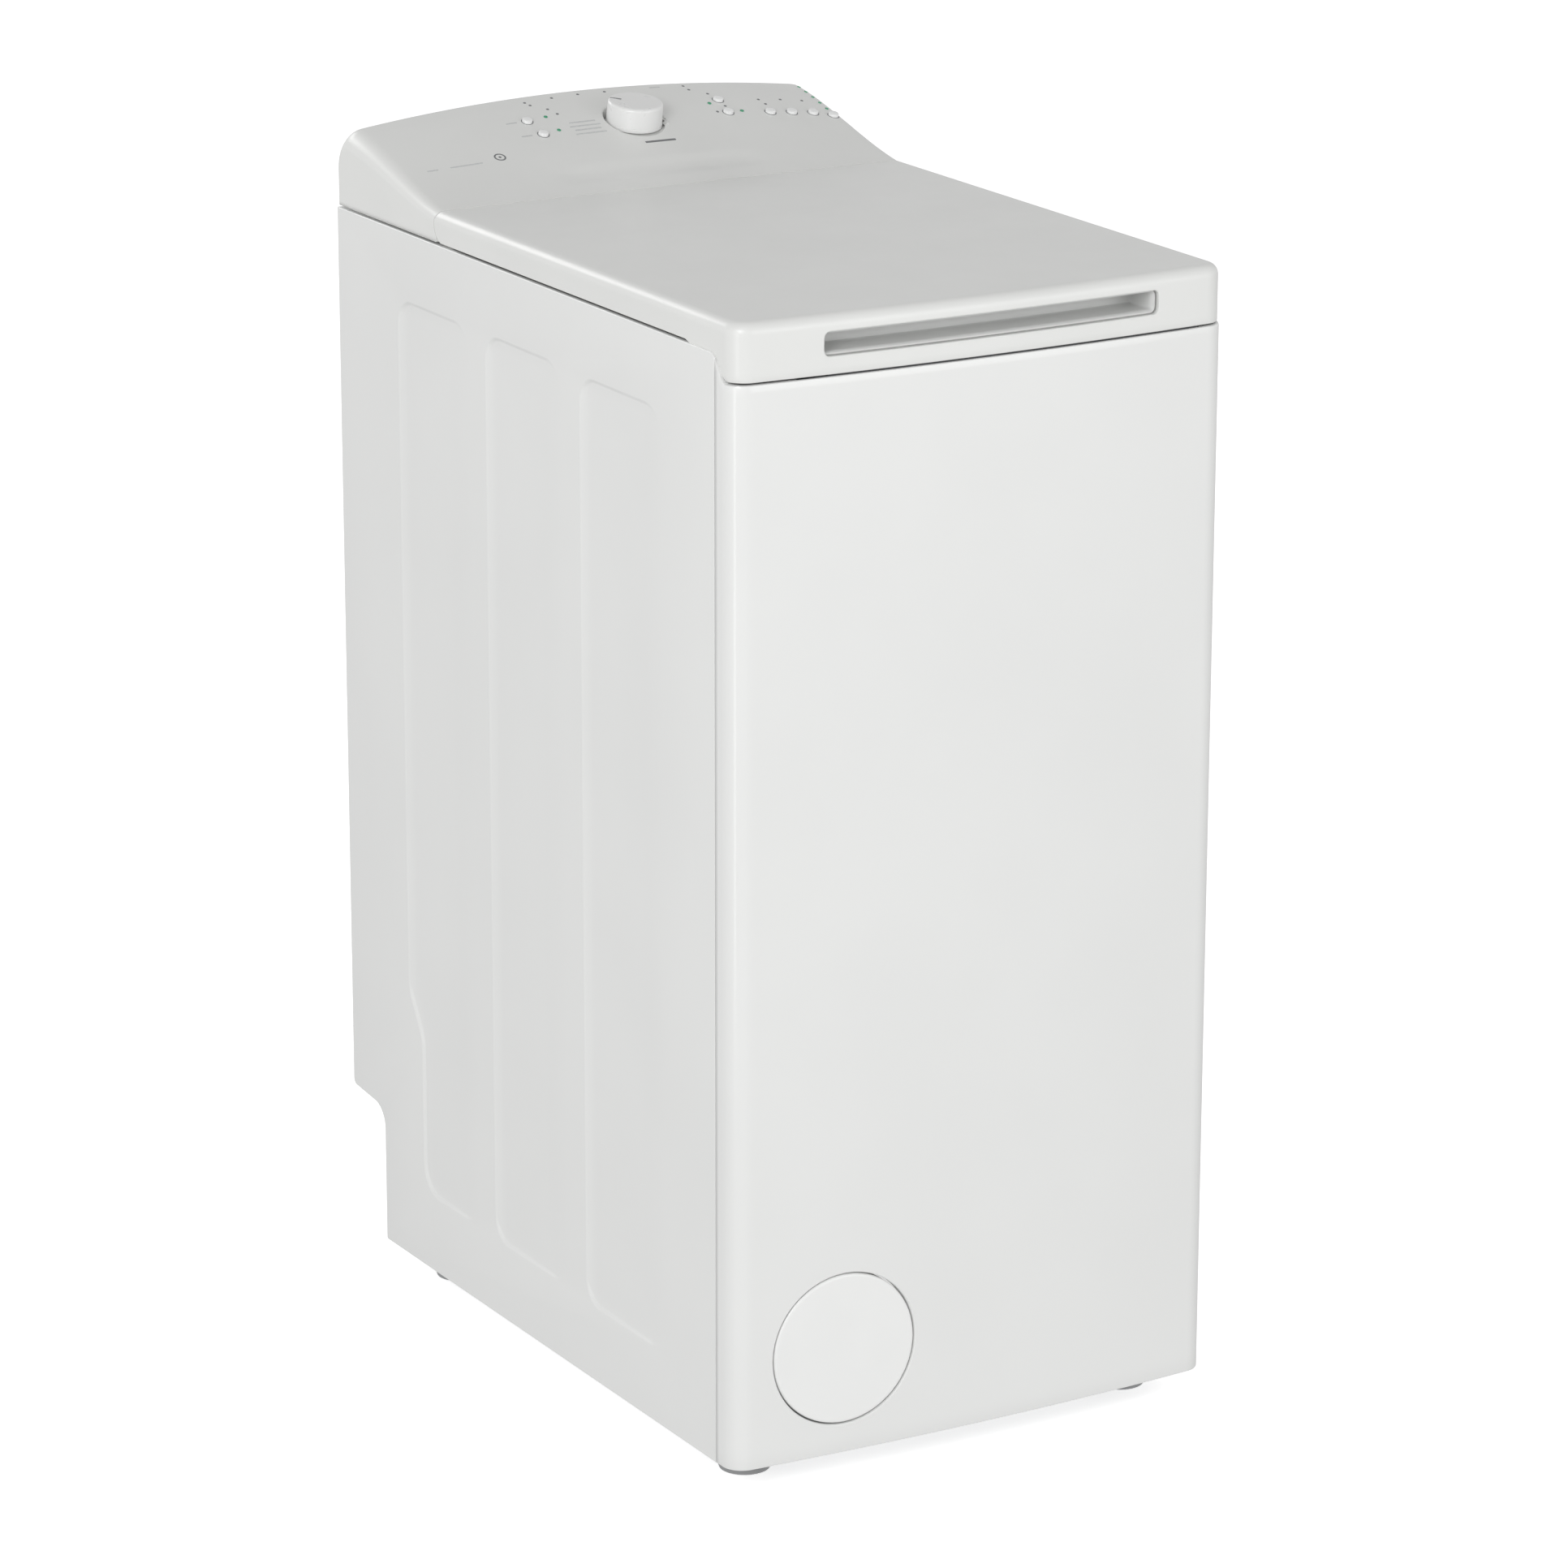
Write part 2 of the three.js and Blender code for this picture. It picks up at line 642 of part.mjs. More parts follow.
// ---------------------------------------------------------------- drain pump

function pumpBody() {
  const at = { x: FILTER_X, z: FILTER_Z };
  return join(
    cut(rod("y", 39, [PUMP.mouth, -186], at), rod("y", 34, [PUMP.mouth - 1, -192], at)),
    rod("y", 43, [PUMP.mouth, PUMP.mouth + 5], at).subtract(
      rod("y", 34, [PUMP.mouth - 1, PUMP.mouth + 9], at),
    ),
    rod("y", 28, [-187, PUMP.rear], at),
    rod("z", 17, [FILTER_Z + 30, FILTER_Z + 56], { x: FILTER_X, y: -215 }).subtract(
      rod("z", 34, [FILTER_Z - 40, FILTER_Z + 34], { x: FILTER_X, y: -215 }),
    ),
    box([FILTER_X - 30, FILTER_X + 30], [-250, -190], [24.8, FILTER_Z - 36]),
    rod("x", 10, [FILTER_X - 58, FILTER_X - 30], { y: -205, z: FILTER_Z - 10 }, 16),
  );
}

// The lint filter's screw cap, drawn about its own axis with the grip towards the front.
function filterCap() {
  const disc = rod("y", 38, [-6, 0], {});
  const plug = rod("y", 33, [-1, 40], {});
  const grip = box([-28, 28], [-18, -5], [-5, 5]);
  return join(disc, plug, grip);
}

function filterCover() {
  const front = (x) => FRONT_Y + FRONT_BOW * (x / HALF_WIDTH) ** 2;
  const blank = rod("y", COVER_RADIUS, [FRONT_Y - 9, FRONT_Y + 12], { x: FILTER_X, z: FILTER_Z }, 48);
  const band = [];
  const steps = 8;
  for (let i = 0; i <= steps; i++) {
    const x = FILTER_X - 60 + (120 * i) / steps;
    band.push([x, front(x)]);
  }
  const back = [...band].reverse().map(([x, y]) => [x, y + 2.2]);
  const skin = blank.intersect(prismZ([...band, ...back], [0, 200]));
  const rim = tube("y", 48, 45.5, [-293.5, -287], { x: FILTER_X, z: FILTER_Z }, 32);
  return join(skin, rim);
}

// ---------------------------------------------------------------- lid

// The lid's outer skin between two heights, with rounded top edges, shrunk by inset.
function lidBody(inset, bottom, top, edgeRadius) {
  const levels = [[bottom, 0]];
  const steps = 5;
  for (let i = 0; i <= steps; i++) {
    const angle = (Math.PI / 2) * (i / steps);
    levels.push([top - edgeRadius + edgeRadius * Math.sin(angle), edgeRadius * (1 - Math.cos(angle))]);
  }
  const beyond = LID_REAR + CORNER_RADIUS;
  const rings = levels.map(([z, shrink]) =>
    planOutline(TOP_HALF_WIDTH, beyond, inset + shrink).map(([x, y]) => new THREE.Vector3(x, y, z)),
  );
  const inFront = box([-HALF_WIDTH, HALF_WIDTH], [FRONT_Y - 1, HINGE.y], [bottom - 1, top + 1]);
  const end = rod("x", LID_END_RADIUS - inset, [-HALF_WIDTH, HALF_WIDTH], HINGE, 64);
  return loft(rings).intersect(join(inFront, end));
}

function lidShell() {
  const skirtBottom = FRONT_TOP + LID_GAP;
  const outer = lidBody(0, skirtBottom, LID_TOP, LID_EDGE_RADIUS);
  const hollow = lidBody(LID_WALL, skirtBottom - 1, LID_TOP - LID_WALL, LID_EDGE_RADIUS - LID_WALL);
  const wall = 3;
  const pocketBox = box(
    [SLOT.x[0] - wall, SLOT.x[1] + wall],
    [FRONT_Y, FRONT_Y + SLOT.depth + wall],
    [SLOT.z[0] - wall, SLOT.z[1] + wall],
  ).intersect(outer);
  const fingerSpace = box(SLOT.x, [FRONT_Y - 9, FRONT_Y + SLOT.depth], SLOT.z);
  const sideSkirts = prismX(
    [
      ...stepCurve(LID_GAP),
      [LID_REAR + 9, SIDE_TOP + LID_GAP],
      [LID_REAR + 9, skirtBottom - 9],
      [STEP_END, skirtBottom - 9],
    ],
    [-HALF_WIDTH - 9, HALF_WIDTH + 9],
  );
  const pins = [-1, 1].flatMap((side) => [
    box([side * PIN.x - 3, side * PIN.x + 3], [HINGE.y - 6, HINGE.y + 6], [HINGE.z - 6, LID_TOP - 2]),
    rod("x", PIN.radius, side < 0 ? [-PIN.end, -PIN.x] : [PIN.x, PIN.end], HINGE, 16),
  ]);
  const towerNotches = [-1, 1].map((side) =>
    box(
      side < 0 ? [-TOWER.x - 7, 5 - TOWER.x] : [TOWER.x - 5, TOWER.x + 7],
      [HINGE.y - 7, LID_REAR + 1],
      [SIDE_TOP, LID_TOP - LID_WALL],
    ),
  );
  const shell = join(cut(outer, hollow, ...towerNotches), pocketBox, ...pins);
  return cut(shell, fingerSpace, sideSkirts);
}

function lidLiner() {
  const z = [829, 832];
  const panel = prismZ(roundedRectangle([-192, 192], [FRONT_Y + 42, 116], 10), z);
  const rib = prismZ(roundedRectangle([-150, 150], [-240, 0], 20), [z[1] - 1, z[1] + 3]);
  const hookX = [LOCK.x[0] + 20, LOCK.x[1] - 20];
  const hook = box(hookX, [LOCK.y[0] + 19, LOCK.y[1] - 12], [800, z[0] + 1]);
  return join(panel, rib, hook);
}

// The detergent tray under the lid. Its pockets face the front, which is up when the lid is open.
function dispenserTray() {
  const pocket = (x) =>
    box(x, [TRAY.y[0] - 1, TRAY.y[1] - TRAY.wall], [TRAY.z[0] + TRAY.wall, TRAY.z[1] - TRAY.wall]);
  const body = box([-TRAY.halfX, TRAY.halfX], TRAY.y, TRAY.z);
  return cut(body, pocket([-102, -37]), pocket([-34, 34]), pocket([37, 102]));
}

// ---------------------------------------------------------------- controls

// The programme knob, drawn on its own axis with its skirt at height zero.
function programKnob() {
  const { radius, height } = KNOB;
  const body = turned(
    [
      [0, 0.8],
      [radius + 0.4, 0.8],
      [radius, height - 2.4],
      [radius - 0.7, height - 0.7],
      [radius - 2.4, height],
      [0, height],
    ],
    48,
  );
  const shaft = rod("z", 3, [-5, 2], {}, 16);
  return join(body, shaft);
}

// A push button, drawn on its own axis with the panel's face at height zero.
function button() {
  return turned(
    [
      [0, -9.5],
      [2.2, -9.5],
      [2.2, -4.5],
      [BUTTON_RADIUS, -4.5],
      [BUTTON_RADIUS, 1],
      [BUTTON_RADIUS - 0.6, 1.6],
      [0, 1.6],
    ],
    16,
  );
}

// ---------------------------------------------------------------- feet and suspension

// A foot with its threaded stem and lock nut, drawn from the floor up.
function foot() {
  const pad = turned([
    [0, 0],
    [FOOT_RADIUS - 2, 0],
    [FOOT_RADIUS, 2],
    [FOOT_RADIUS, 7],
    [11, 11],
    [STEM_RADIUS, 11],
    [STEM_RADIUS, 48],
    [0, 48],
  ]);
  const nut = solidOf(new THREE.CylinderGeometry(9, 9, 5, 6).rotateX(Math.PI / 2).translate(0, 0, 17));
  return join(pad, nut);
}

// A hung spring as the sleeve that its coils fill, with a straight hook at each end.
function spring() {
  return join(
    rod("z", 10, [LUG_Z + 22, 772], {}, 16),
    rod("z", 2, [LUG_Z + GAP, LUG_Z + 23], {}, 8),
    rod("z", 2, [771, RAIL_Z[1] - 1.5 - GAP], {}, 8),
  );
}

const damperCylinder = () =>
  cut(
    join(rod("z", 14, [24.8, 150], {}), rod("z", 16, [143, 150], {})),
    rod("z", 9, [40, 160], {}),
  );

// The height of the tub's underside over a point at y.
const tubUnder = (y) => DRUM_Z - Math.sqrt(TUB_OUTER ** 2 - (y - DRUM_Y) ** 2);

function damperRod(y) {
  const top = Math.min(tubUnder(y - 13), tubUnder(y + 13)) - 1;
  return join(rod("z", 8.5, [62, top], {}, 20), box([-13, 13], [-11, 11], [top - 16, top]));
}

// ---------------------------------------------------------------- tub, drawn about the drum's axis

function tubHalf(side) {
  const span = side < 0 ? [-TUB_HALF, -GAP / 2] : [GAP / 2, TUB_HALF];
  const inner = side < 0 ? [-TUB_HALF + 6, 1] : [-1, TUB_HALF - 6];
  const sides = 40;
  const neckTop = NECK_TOP - DRUM_Z;
  const outerEdge = side * TUB_HALF;
  const hub = side < 0 ? [outerEdge - 18, outerEdge + 1] : [outerEdge - 1, outerEdge + 18];
  const halfSpace = side < 0 ? [-400, -GAP / 2] : [GAP / 2, 400];
  const neck = prismZ(
    roundedRectangle([-LOAD_HALF_X - 6, LOAD_HALF_X + 6], [-LOAD_HALF_Y - 5, LOAD_HALF_Y + 5], 28),
    [150, neckTop],
  ).intersect(box(halfSpace, [-200, 200], [100, 300]));
  const flange = rod("x", TUB_OUTER + 8, side < 0 ? [-10, -GAP / 2] : [GAP / 2, 10], {}, sides);
  const throat = prismZ(
    roundedRectangle([-LOAD_HALF_X, LOAD_HALF_X], [-LOAD_HALF_Y + 1, LOAD_HALF_Y - 1], 24),
    [140, neckTop + 1],
  );
  const lugs = [-180, 180].map((y) =>
    box(
      side < 0 ? [-182, -TUB_HALF + 1] : [TUB_HALF - 1, 182],
      [y - 10, y + 10],
      [LUG_Z - DRUM_Z - 12, LUG_Z - DRUM_Z],
    ),
  );
  const outwards = (from) => (side < 0 ? [-TUB_HALF - 20, -from] : [from, TUB_HALF + 20]);
  const heaterHoles = [-HEATER.y, HEATER.y].map((y) =>
    rod("x", HEATER.radius + 0.6, [-TUB_HALF - 5, -TUB_HALF + 9], { y, z: HEATER.z }, 16),
  );
  const spigot = rod(
    "z",
    SPIGOT.radius,
    [SPIGOT.bottom - DRUM_Z, SPIGOT.bottom - DRUM_Z + 18],
    { x: SPIGOT.x, y: SPIGOT.y - DRUM_Y },
    20,
  );
  return cut(
    join(
      rod("x", TUB_OUTER, span, {}, sides),
      flange,
      neck,
      rod("x", 38, hub, {}),
      ...lugs,
      ...(side < 0 ? [spigot] : []),
    ),
    rod("x", TUB_INNER, inner, {}, sides),
    throat,
    rod("x", BEARING_RADIUS + GAP, outwards(TUB_HALF + 1), {}),
    rod("x", SHAFT_RADIUS + 1.5, outwards(TUB_HALF - 9), {}),
    ...(side < 0 ? heaterHoles : []),
  );
}

const bearing = (side) =>
  tube("x", BEARING_RADIUS, SHAFT_RADIUS + GAP, side < 0 ? [-173, -158] : [158, 173], {});

function drumShell() {
  const wall = tube("x", DRUM_RADIUS, DRUM_RADIUS - DRUM_WALL, [-DRUM_HALF, DRUM_HALF], {}, 48);
  const doorY = DRUM_RADIUS * Math.sin(DOOR_ANGLE);
  return cut(wall, box([-DOOR_HALF_X, DOOR_HALF_X], [-doorY, doorY], [150, 260]));
}

// A dished end plate with its shaft, drawn for the right side.
function drumEnd(shaftEnd) {
  const rim = DRUM_HALF + GAP;
  return turned(
    [
      [0, rim],
      [DRUM_RADIUS, rim],
      [DRUM_RADIUS, rim + 2],
      [70, rim + 2],
      [55, rim + 8],
      [SHAFT_RADIUS, rim + 8],
      [SHAFT_RADIUS, shaftEnd],
      [0, shaftEnd],
    ],
    48,
  );
}

// A door flap: a strip of the drum's wall, hinged on one straight edge. side is -1 at the front.
function drumFlap(side) {
  const hingeAngle = DOOR_ANGLE - 0.022;
  const meetAngle = 0.008;
  const steps = 7;
  const place = (radius, angle) => [side * radius * Math.sin(angle), radius * Math.cos(angle)];
  const outer = [];
  const inner = [];
  for (let i = 0; i <= steps; i++) {
    const angle = meetAngle + ((hingeAngle - meetAngle) * i) / steps;
    outer.push(place(DRUM_RADIUS, angle));
    inner.push(place(DRUM_RADIUS - DRUM_WALL, angle));
  }
  return prismX([...outer, ...inner.reverse()], [-DOOR_HALF_X + 1, DOOR_HALF_X - 1]);
}

// A lifter that carries the washing round, on the wall at the bottom of the drum.
function drumPaddle() {
  const foot = 30;
  const seat = Math.sqrt((DRUM_RADIUS - DRUM_WALL - 1) ** 2 - foot ** 2);
  return prismX(
    [
      [-foot, -seat],
      [foot, -seat],
      [foot - 6, -seat + 14],
      ...arc(0, -seat + 36, 11, 20, 160, 5),
      [-foot + 6, -seat + 14],
    ],
    [-DRUM_HALF + 12, DRUM_HALF - 12],
  );
}

// The block of concrete on the tub's front or rear shoulder.
function counterweight(side) {
  const clear = TUB_OUTER + 9;
  const from = 125;
  const to = 205;
  const steps = 6;
  const seat = [];
  for (let i = 0; i <= steps; i++) {
    const z = from + ((to - from) * i) / steps;
    seat.push([side * Math.sqrt(clear ** 2 - z ** 2), z]);
  }
  return prismX(
    [...seat, [side * 205, to], [side * 262, 160], [side * 262, from]],
    [-120, 120],
  );
}

// The water heater: a hairpin under the drum whose legs pass through the tub's left wall.
function heater() {
  const [outside, middle, turnX] = [-168, -40, 80];
  const legs = [
    [outside, -HEATER.y],
    [middle, -HEATER.y],
    ...arc(turnX, 0, HEATER.y, -90, 90, 4),
    [middle, HEATER.y],
    [outside, HEATER.y],
  ];
  return hose(legs.map(([x, y]) => [x, y, HEATER.z]), HEATER.radius, 28, 6);
}

function drumPulley() {
  const x = [PULLEY_X - 6, PULLEY_X + 6];
  const rim = tube("x", PULLEY_RADIUS, PULLEY_RADIUS - 9, x, {}, 36);
  const hub = tube("x", 24, SHAFT_RADIUS + GAP, x, {});
  const spokes = [0, 60, 120].map((degrees) =>
    box([x[0] + 2, x[1] - 2], [-PULLEY_RADIUS + 4, PULLEY_RADIUS - 4], [-7, 7]).rotate([degrees, 0, 0]),
  );
  return cut(join(rim, hub, ...spokes), rod("x", SHAFT_RADIUS + GAP, [x[0] - 1, x[1] + 1], {}));
}

// ---------------------------------------------------------------- motor and belt

function motorBody() {
  const at = { y: MOTOR_Y, z: MOTOR_Z };
  const lugs = [10, 110].map((x) =>
    box([x, x + 18], [110, 146], [MOTOR_Z + 40, tubUnder(110) - 9]),
  );
  return cut(
    join(
      rod("x", 60, [0, 150], at, 32),
      rod("x", 45, [-12, 1], at, 32),
      rod("x", 26, [149, 166], at),
      ...lugs,
    ),
    rod("x", 7.5, [120, 170], at, 16),
  );
}

const motorPulley = () =>
  join(
    rod("x", MOTOR_PULLEY_RADIUS, [PULLEY_X - 7, PULLEY_X + 7], {}),
    rod("x", 7, [125, PULLEY_X], {}, 16),
  );

// The belt round both pulleys, as the band between two offset open-belt outlines.
function driveBelt() {
  const dy = MOTOR_Y - DRUM_Y;
  const dz = MOTOR_Z - DRUM_Z;
  const distance = Math.hypot(dy, dz);
  const heading = THREE.MathUtils.radToDeg(Math.atan2(dz, dy));
  const outline = (offset) => {
    const big = PULLEY_RADIUS + offset;
    const small = MOTOR_PULLEY_RADIUS + offset;
    const lean = THREE.MathUtils.radToDeg(Math.acos((big - small) / distance));
    return [
      ...arc(DRUM_Y, DRUM_Z, big, heading + lean, heading + 360 - lean, 32),
      ...arc(MOTOR_Y, MOTOR_Z, small, heading - lean, heading + lean, 8),
    ];
  };
  const span = [PULLEY_X - BELT_WIDTH / 2, PULLEY_X + BELT_WIDTH / 2];
  const slack = 0.5;
  const inside = prismX(outline(slack), [span[0] - 1, span[1] + 1]);
  return cut(prismX(outline(slack + BELT_THICKNESS), span), inside);
}

// ---------------------------------------------------------------- gasket and hoses

// The bellows between the tub's neck and the deck's collar.
function loadGasket() {
  const ring = (grow, z) =>
    roundedRectangle(
      [-LOAD_HALF_X - grow, LOAD_HALF_X + grow],
      [-LOAD_HALF_Y - grow, LOAD_HALF_Y + grow],
      24 + grow,
      4,
    ).map(([x, y]) => new THREE.Vector3(x, y, z));
  const bottom = NECK_TOP + GAP;
  const top = COLLAR_BOTTOM - GAP;
  const folds = [5, 9, 5, 9, 5];
  const levels = folds.map((_, i) => bottom + ((top - bottom) * i) / (folds.length - 1));
  const outside = folds.map((grow, i) => ring(grow, levels[i]));
  const inside = folds.map((grow, i) => ring(grow - 3, levels[i]));
  inside[0].forEach((p) => (p.z -= 1));
  inside.at(-1).forEach((p) => (p.z += 1));
  return cut(loft(outside), loft(inside));
}

const sumpHose = () =>
  hose(
    [
      [FILTER_X, -215, FILTER_Z + 56 + GAP],
      [FILTER_X, -215, 170],
      [FILTER_X + 1, -205, 186],
      [FILTER_X + 3, -175, 200],
      [SPIGOT.x, SPIGOT.y - 10, 212],
      [SPIGOT.x, SPIGOT.y, 228],
      [SPIGOT.x, SPIGOT.y, SPIGOT.bottom - GAP],
    ],
    SPIGOT.radius,
    14,
  );

// ---------------------------------------------------------------- assembly

const machine = new THREE.Group();

// Adds a named sub-part to a group, at a place and turned about X.
function piece(parent, name, solid, material, { x = 0, y = 0, z = 0, tilt = 0 } = {}) {
  const mesh = new THREE.Mesh(geometryOf(solid), material);
  mesh.name = name;
  mesh.position.set(x, y, z);
  mesh.rotation.x = tilt;
  parent.add(mesh);
  return mesh;
}

const cabinet = new THREE.Group();
piece(cabinet, "side_panel_left", sidePanel(-1), FINISH.enamel);
piece(cabinet, "side_panel_right", sidePanel(1), FINISH.enamel);
piece(cabinet, "front_panel", frontPanel(), FINISH.enamel);
piece(cabinet, "rear_panel", rearPanel(), FINISH.zinc);
piece(cabinet, "base_frame", baseFrame(), FINISH.zinc);
piece(cabinet, "worktop_frame", worktopFrame(), FINISH.whitePlastic);
piece(cabinet, "console_housing", consoleHousing(), FINISH.whitePlastic);
piece(cabinet, "top_frame", topFrame(), FINISH.zinc);
piece(cabinet, "inlet_valve", inletValve(), FINISH.whitePlastic);
piece(cabinet, "drain_outlet", drainOutlet(), FINISH.greyPlastic);
piece(cabinet, "cable_gland", cableGland(), FINISH.darkPlastic);
piece(cabinet, "lid_lock", lidLock(), FINISH.darkPlastic);
piece(cabinet, "pump_body", pumpBody(), FINISH.greyPlastic);
piece(cabinet, "filter_cap", filterCap(), FINISH.darkPlastic, {
  x: FILTER_X,
  y: PUMP.mouth - GAP,
  z: FILTER_Z,
});
piece(cabinet, "filter_cover", filterCover(), FINISH.whitePlastic);
piece(cabinet, "control_board", controlBoard(), FINISH.board, {
  x: BOARD.x,
  y: BOARD.y,
  z: panelHeight(0, BOARD.y) - BOARD.below,
  tilt: PANEL_TILT,
});
for (const [end, y] of [["front", FOOT_FRONT_Y], ["rear", FOOT_REAR_Y]]) {
  for (const [side, x] of [["left", -FOOT_X], ["right", FOOT_X]]) {
    piece(cabinet, `foot_${end}_${side}`, foot(), FINISH.darkPlastic, { x, y });
  }
}
machine.add(cabinet);

const controls = new THREE.Group();
piece(controls, "program_knob", programKnob(), FINISH.whitePlastic, knobSeat);
BUTTONS.forEach((at, i) => {
  piece(controls, `button_${i + 1}`, button(), FINISH.whitePlastic, buttonSeat(at));
});
machine.add(controls);

const lid = new THREE.Group();
piece(lid, "lid_shell", lidShell(), FINISH.whitePlastic);
piece(lid, "lid_liner", lidLiner(), FINISH.whitePlastic);
piece(lid, "dispenser_tray", dispenserTray(), FINISH.greyPlastic);
machine.add(lid);

const tub = new THREE.Group();
tub.position.set(0, DRUM_Y, DRUM_Z);
piece(tub, "tub_half_left", tubHalf(-1), FINISH.tubPlastic);
piece(tub, "tub_half_right", tubHalf(1), FINISH.tubPlastic);
piece(tub, "bearing_left", bearing(-1), FINISH.zinc);
piece(tub, "bearing_right", bearing(1), FINISH.zinc);
piece(tub, "counterweight_front", counterweight(-1), FINISH.concrete);
piece(tub, "counterweight_rear", counterweight(1), FINISH.concrete);
piece(tub, "heater", heater(), FINISH.stainless);
machine.add(tub);

const drum = new THREE.Group();
drum.position.set(0, DRUM_Y, DRUM_Z);
piece(drum, "drum_shell", drumShell(), FINISH.stainless);
const endRight = piece(drum, "drum_end_right", drumEnd(PULLEY_X + 8), FINISH.stainless);
endRight.rotation.y = Math.PI / 2;
const endLeft = piece(drum, "drum_end_left", drumEnd(176), FINISH.stainless);
endLeft.rotation.y = -Math.PI / 2;
piece(drum, "drum_flap_front", drumFlap(-1), FINISH.stainless);
piece(drum, "drum_flap_rear", drumFlap(1), FINISH.stainless);
for (const [end, degrees] of [["front", -60], ["rear", 60]]) {
  const tilt = THREE.MathUtils.degToRad(degrees);
  piece(drum, `drum_paddle_${end}`, drumPaddle(), FINISH.greyPlastic, { tilt });
}
piece(drum, "drum_pulley", drumPulley(), FINISH.zinc);
machine.add(drum);

const drive = new THREE.Group();
piece(drive, "motor_body", motorBody(), FINISH.motorBlack);
piece(drive, "motor_pulley", motorPulley(), FINISH.zinc, { y: MOTOR_Y, z: MOTOR_Z });
piece(drive, "drive_belt", driveBelt(), FINISH.rubber);
machine.add(drive);

const suspension = new THREE.Group();
for (const [end, y] of Object.entries(RAIL_Y)) {
  for (const [side, x] of [["left", -SPRING_X], ["right", SPRING_X]]) {
    piece(suspension, `spring_${end}_${side}`, spring(), FINISH.zinc, { x, y });
  }
}
for (const [end, at] of Object.entries(DAMPERS)) {
  piece(suspension, `damper_cylinder_${end}`, damperCylinder(), FINISH.darkPlastic, at);
  piece(suspension, `damper_rod_${end}`, damperRod(at.y), FINISH.zinc, at);
}
piece(suspension, "load_gasket", loadGasket(), FINISH.rubber, { y: DRUM_Y });
piece(suspension, "sump_hose", sumpHose(), FINISH.rubber);
machine.add(suspension);

export default machine;
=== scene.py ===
"""A slim top load washing machine: its looks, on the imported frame.

Shapes are drawn in millimetres in the frame's axes, and become metres when a piece is made.
"""

import math

import bmesh
import bpy
from mathutils import Euler, Matrix, Vector
from mathutils.geometry import tessellate_polygon


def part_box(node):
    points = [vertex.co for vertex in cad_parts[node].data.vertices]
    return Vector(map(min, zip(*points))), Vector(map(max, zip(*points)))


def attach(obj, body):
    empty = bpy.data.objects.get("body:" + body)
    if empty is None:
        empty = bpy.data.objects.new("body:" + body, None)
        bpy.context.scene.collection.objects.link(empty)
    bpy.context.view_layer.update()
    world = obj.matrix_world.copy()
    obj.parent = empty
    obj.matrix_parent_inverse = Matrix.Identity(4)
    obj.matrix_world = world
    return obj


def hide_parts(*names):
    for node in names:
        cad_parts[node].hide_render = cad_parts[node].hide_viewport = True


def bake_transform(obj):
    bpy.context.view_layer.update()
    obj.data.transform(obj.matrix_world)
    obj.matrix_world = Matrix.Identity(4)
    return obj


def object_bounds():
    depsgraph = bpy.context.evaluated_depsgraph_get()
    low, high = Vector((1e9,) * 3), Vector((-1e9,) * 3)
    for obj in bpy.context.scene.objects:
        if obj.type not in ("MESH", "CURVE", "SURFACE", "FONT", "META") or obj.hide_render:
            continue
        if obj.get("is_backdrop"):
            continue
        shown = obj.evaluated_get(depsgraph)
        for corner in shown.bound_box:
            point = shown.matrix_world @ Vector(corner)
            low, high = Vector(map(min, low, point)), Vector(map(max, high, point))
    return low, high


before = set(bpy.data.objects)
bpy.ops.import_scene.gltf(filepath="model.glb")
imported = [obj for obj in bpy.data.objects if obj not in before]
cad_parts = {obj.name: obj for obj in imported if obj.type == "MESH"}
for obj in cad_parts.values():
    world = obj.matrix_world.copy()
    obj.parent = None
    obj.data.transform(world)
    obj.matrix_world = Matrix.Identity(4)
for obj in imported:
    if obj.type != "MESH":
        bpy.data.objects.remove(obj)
CAD_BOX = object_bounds()

MM = 0.001

# ---------- driving dimensions, from the frame


def node_box(name):
    """A CAD node's lowest and highest corners, in millimetres."""
    low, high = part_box(name)
    return low / MM, high / MM


def node_middle(name):
    low, high = node_box(name)
    return (low + high) / 2


SIDE_LOW, SIDE_HIGH = node_box("side_panel_right")
FRONT_LOW, FRONT_HIGH = node_box("front_panel")
LID_LOW, LID_HIGH = node_box("lid_shell")
CONSOLE_LOW, CONSOLE_HIGH = node_box("console_housing")
REAR_LOW, REAR_HIGH = node_box("rear_panel")
COVER_LOW, COVER_HIGH = node_box("filter_cover")

HALF_WIDTH = SIDE_HIGH.x
TOP_HALF_WIDTH = LID_HIGH.x
BOTTOM = SIDE_LOW.z
SIDE_TOP = SIDE_HIGH.z
FRONT_Y = FRONT_LOW.y
SEAM_Y = FRONT_HIGH.y
REAR_Y = SIDE_HIGH.y
LID_TOP = LID_HIGH.z

LID_GAP = 1.5
FRONT_TOP = LID_LOW.z - LID_GAP
CONSOLE_FRONT = 143.5
CONSOLE_REAR = CONSOLE_HIGH.y
CONSOLE_BOTTOM = CONSOLE_LOW.z

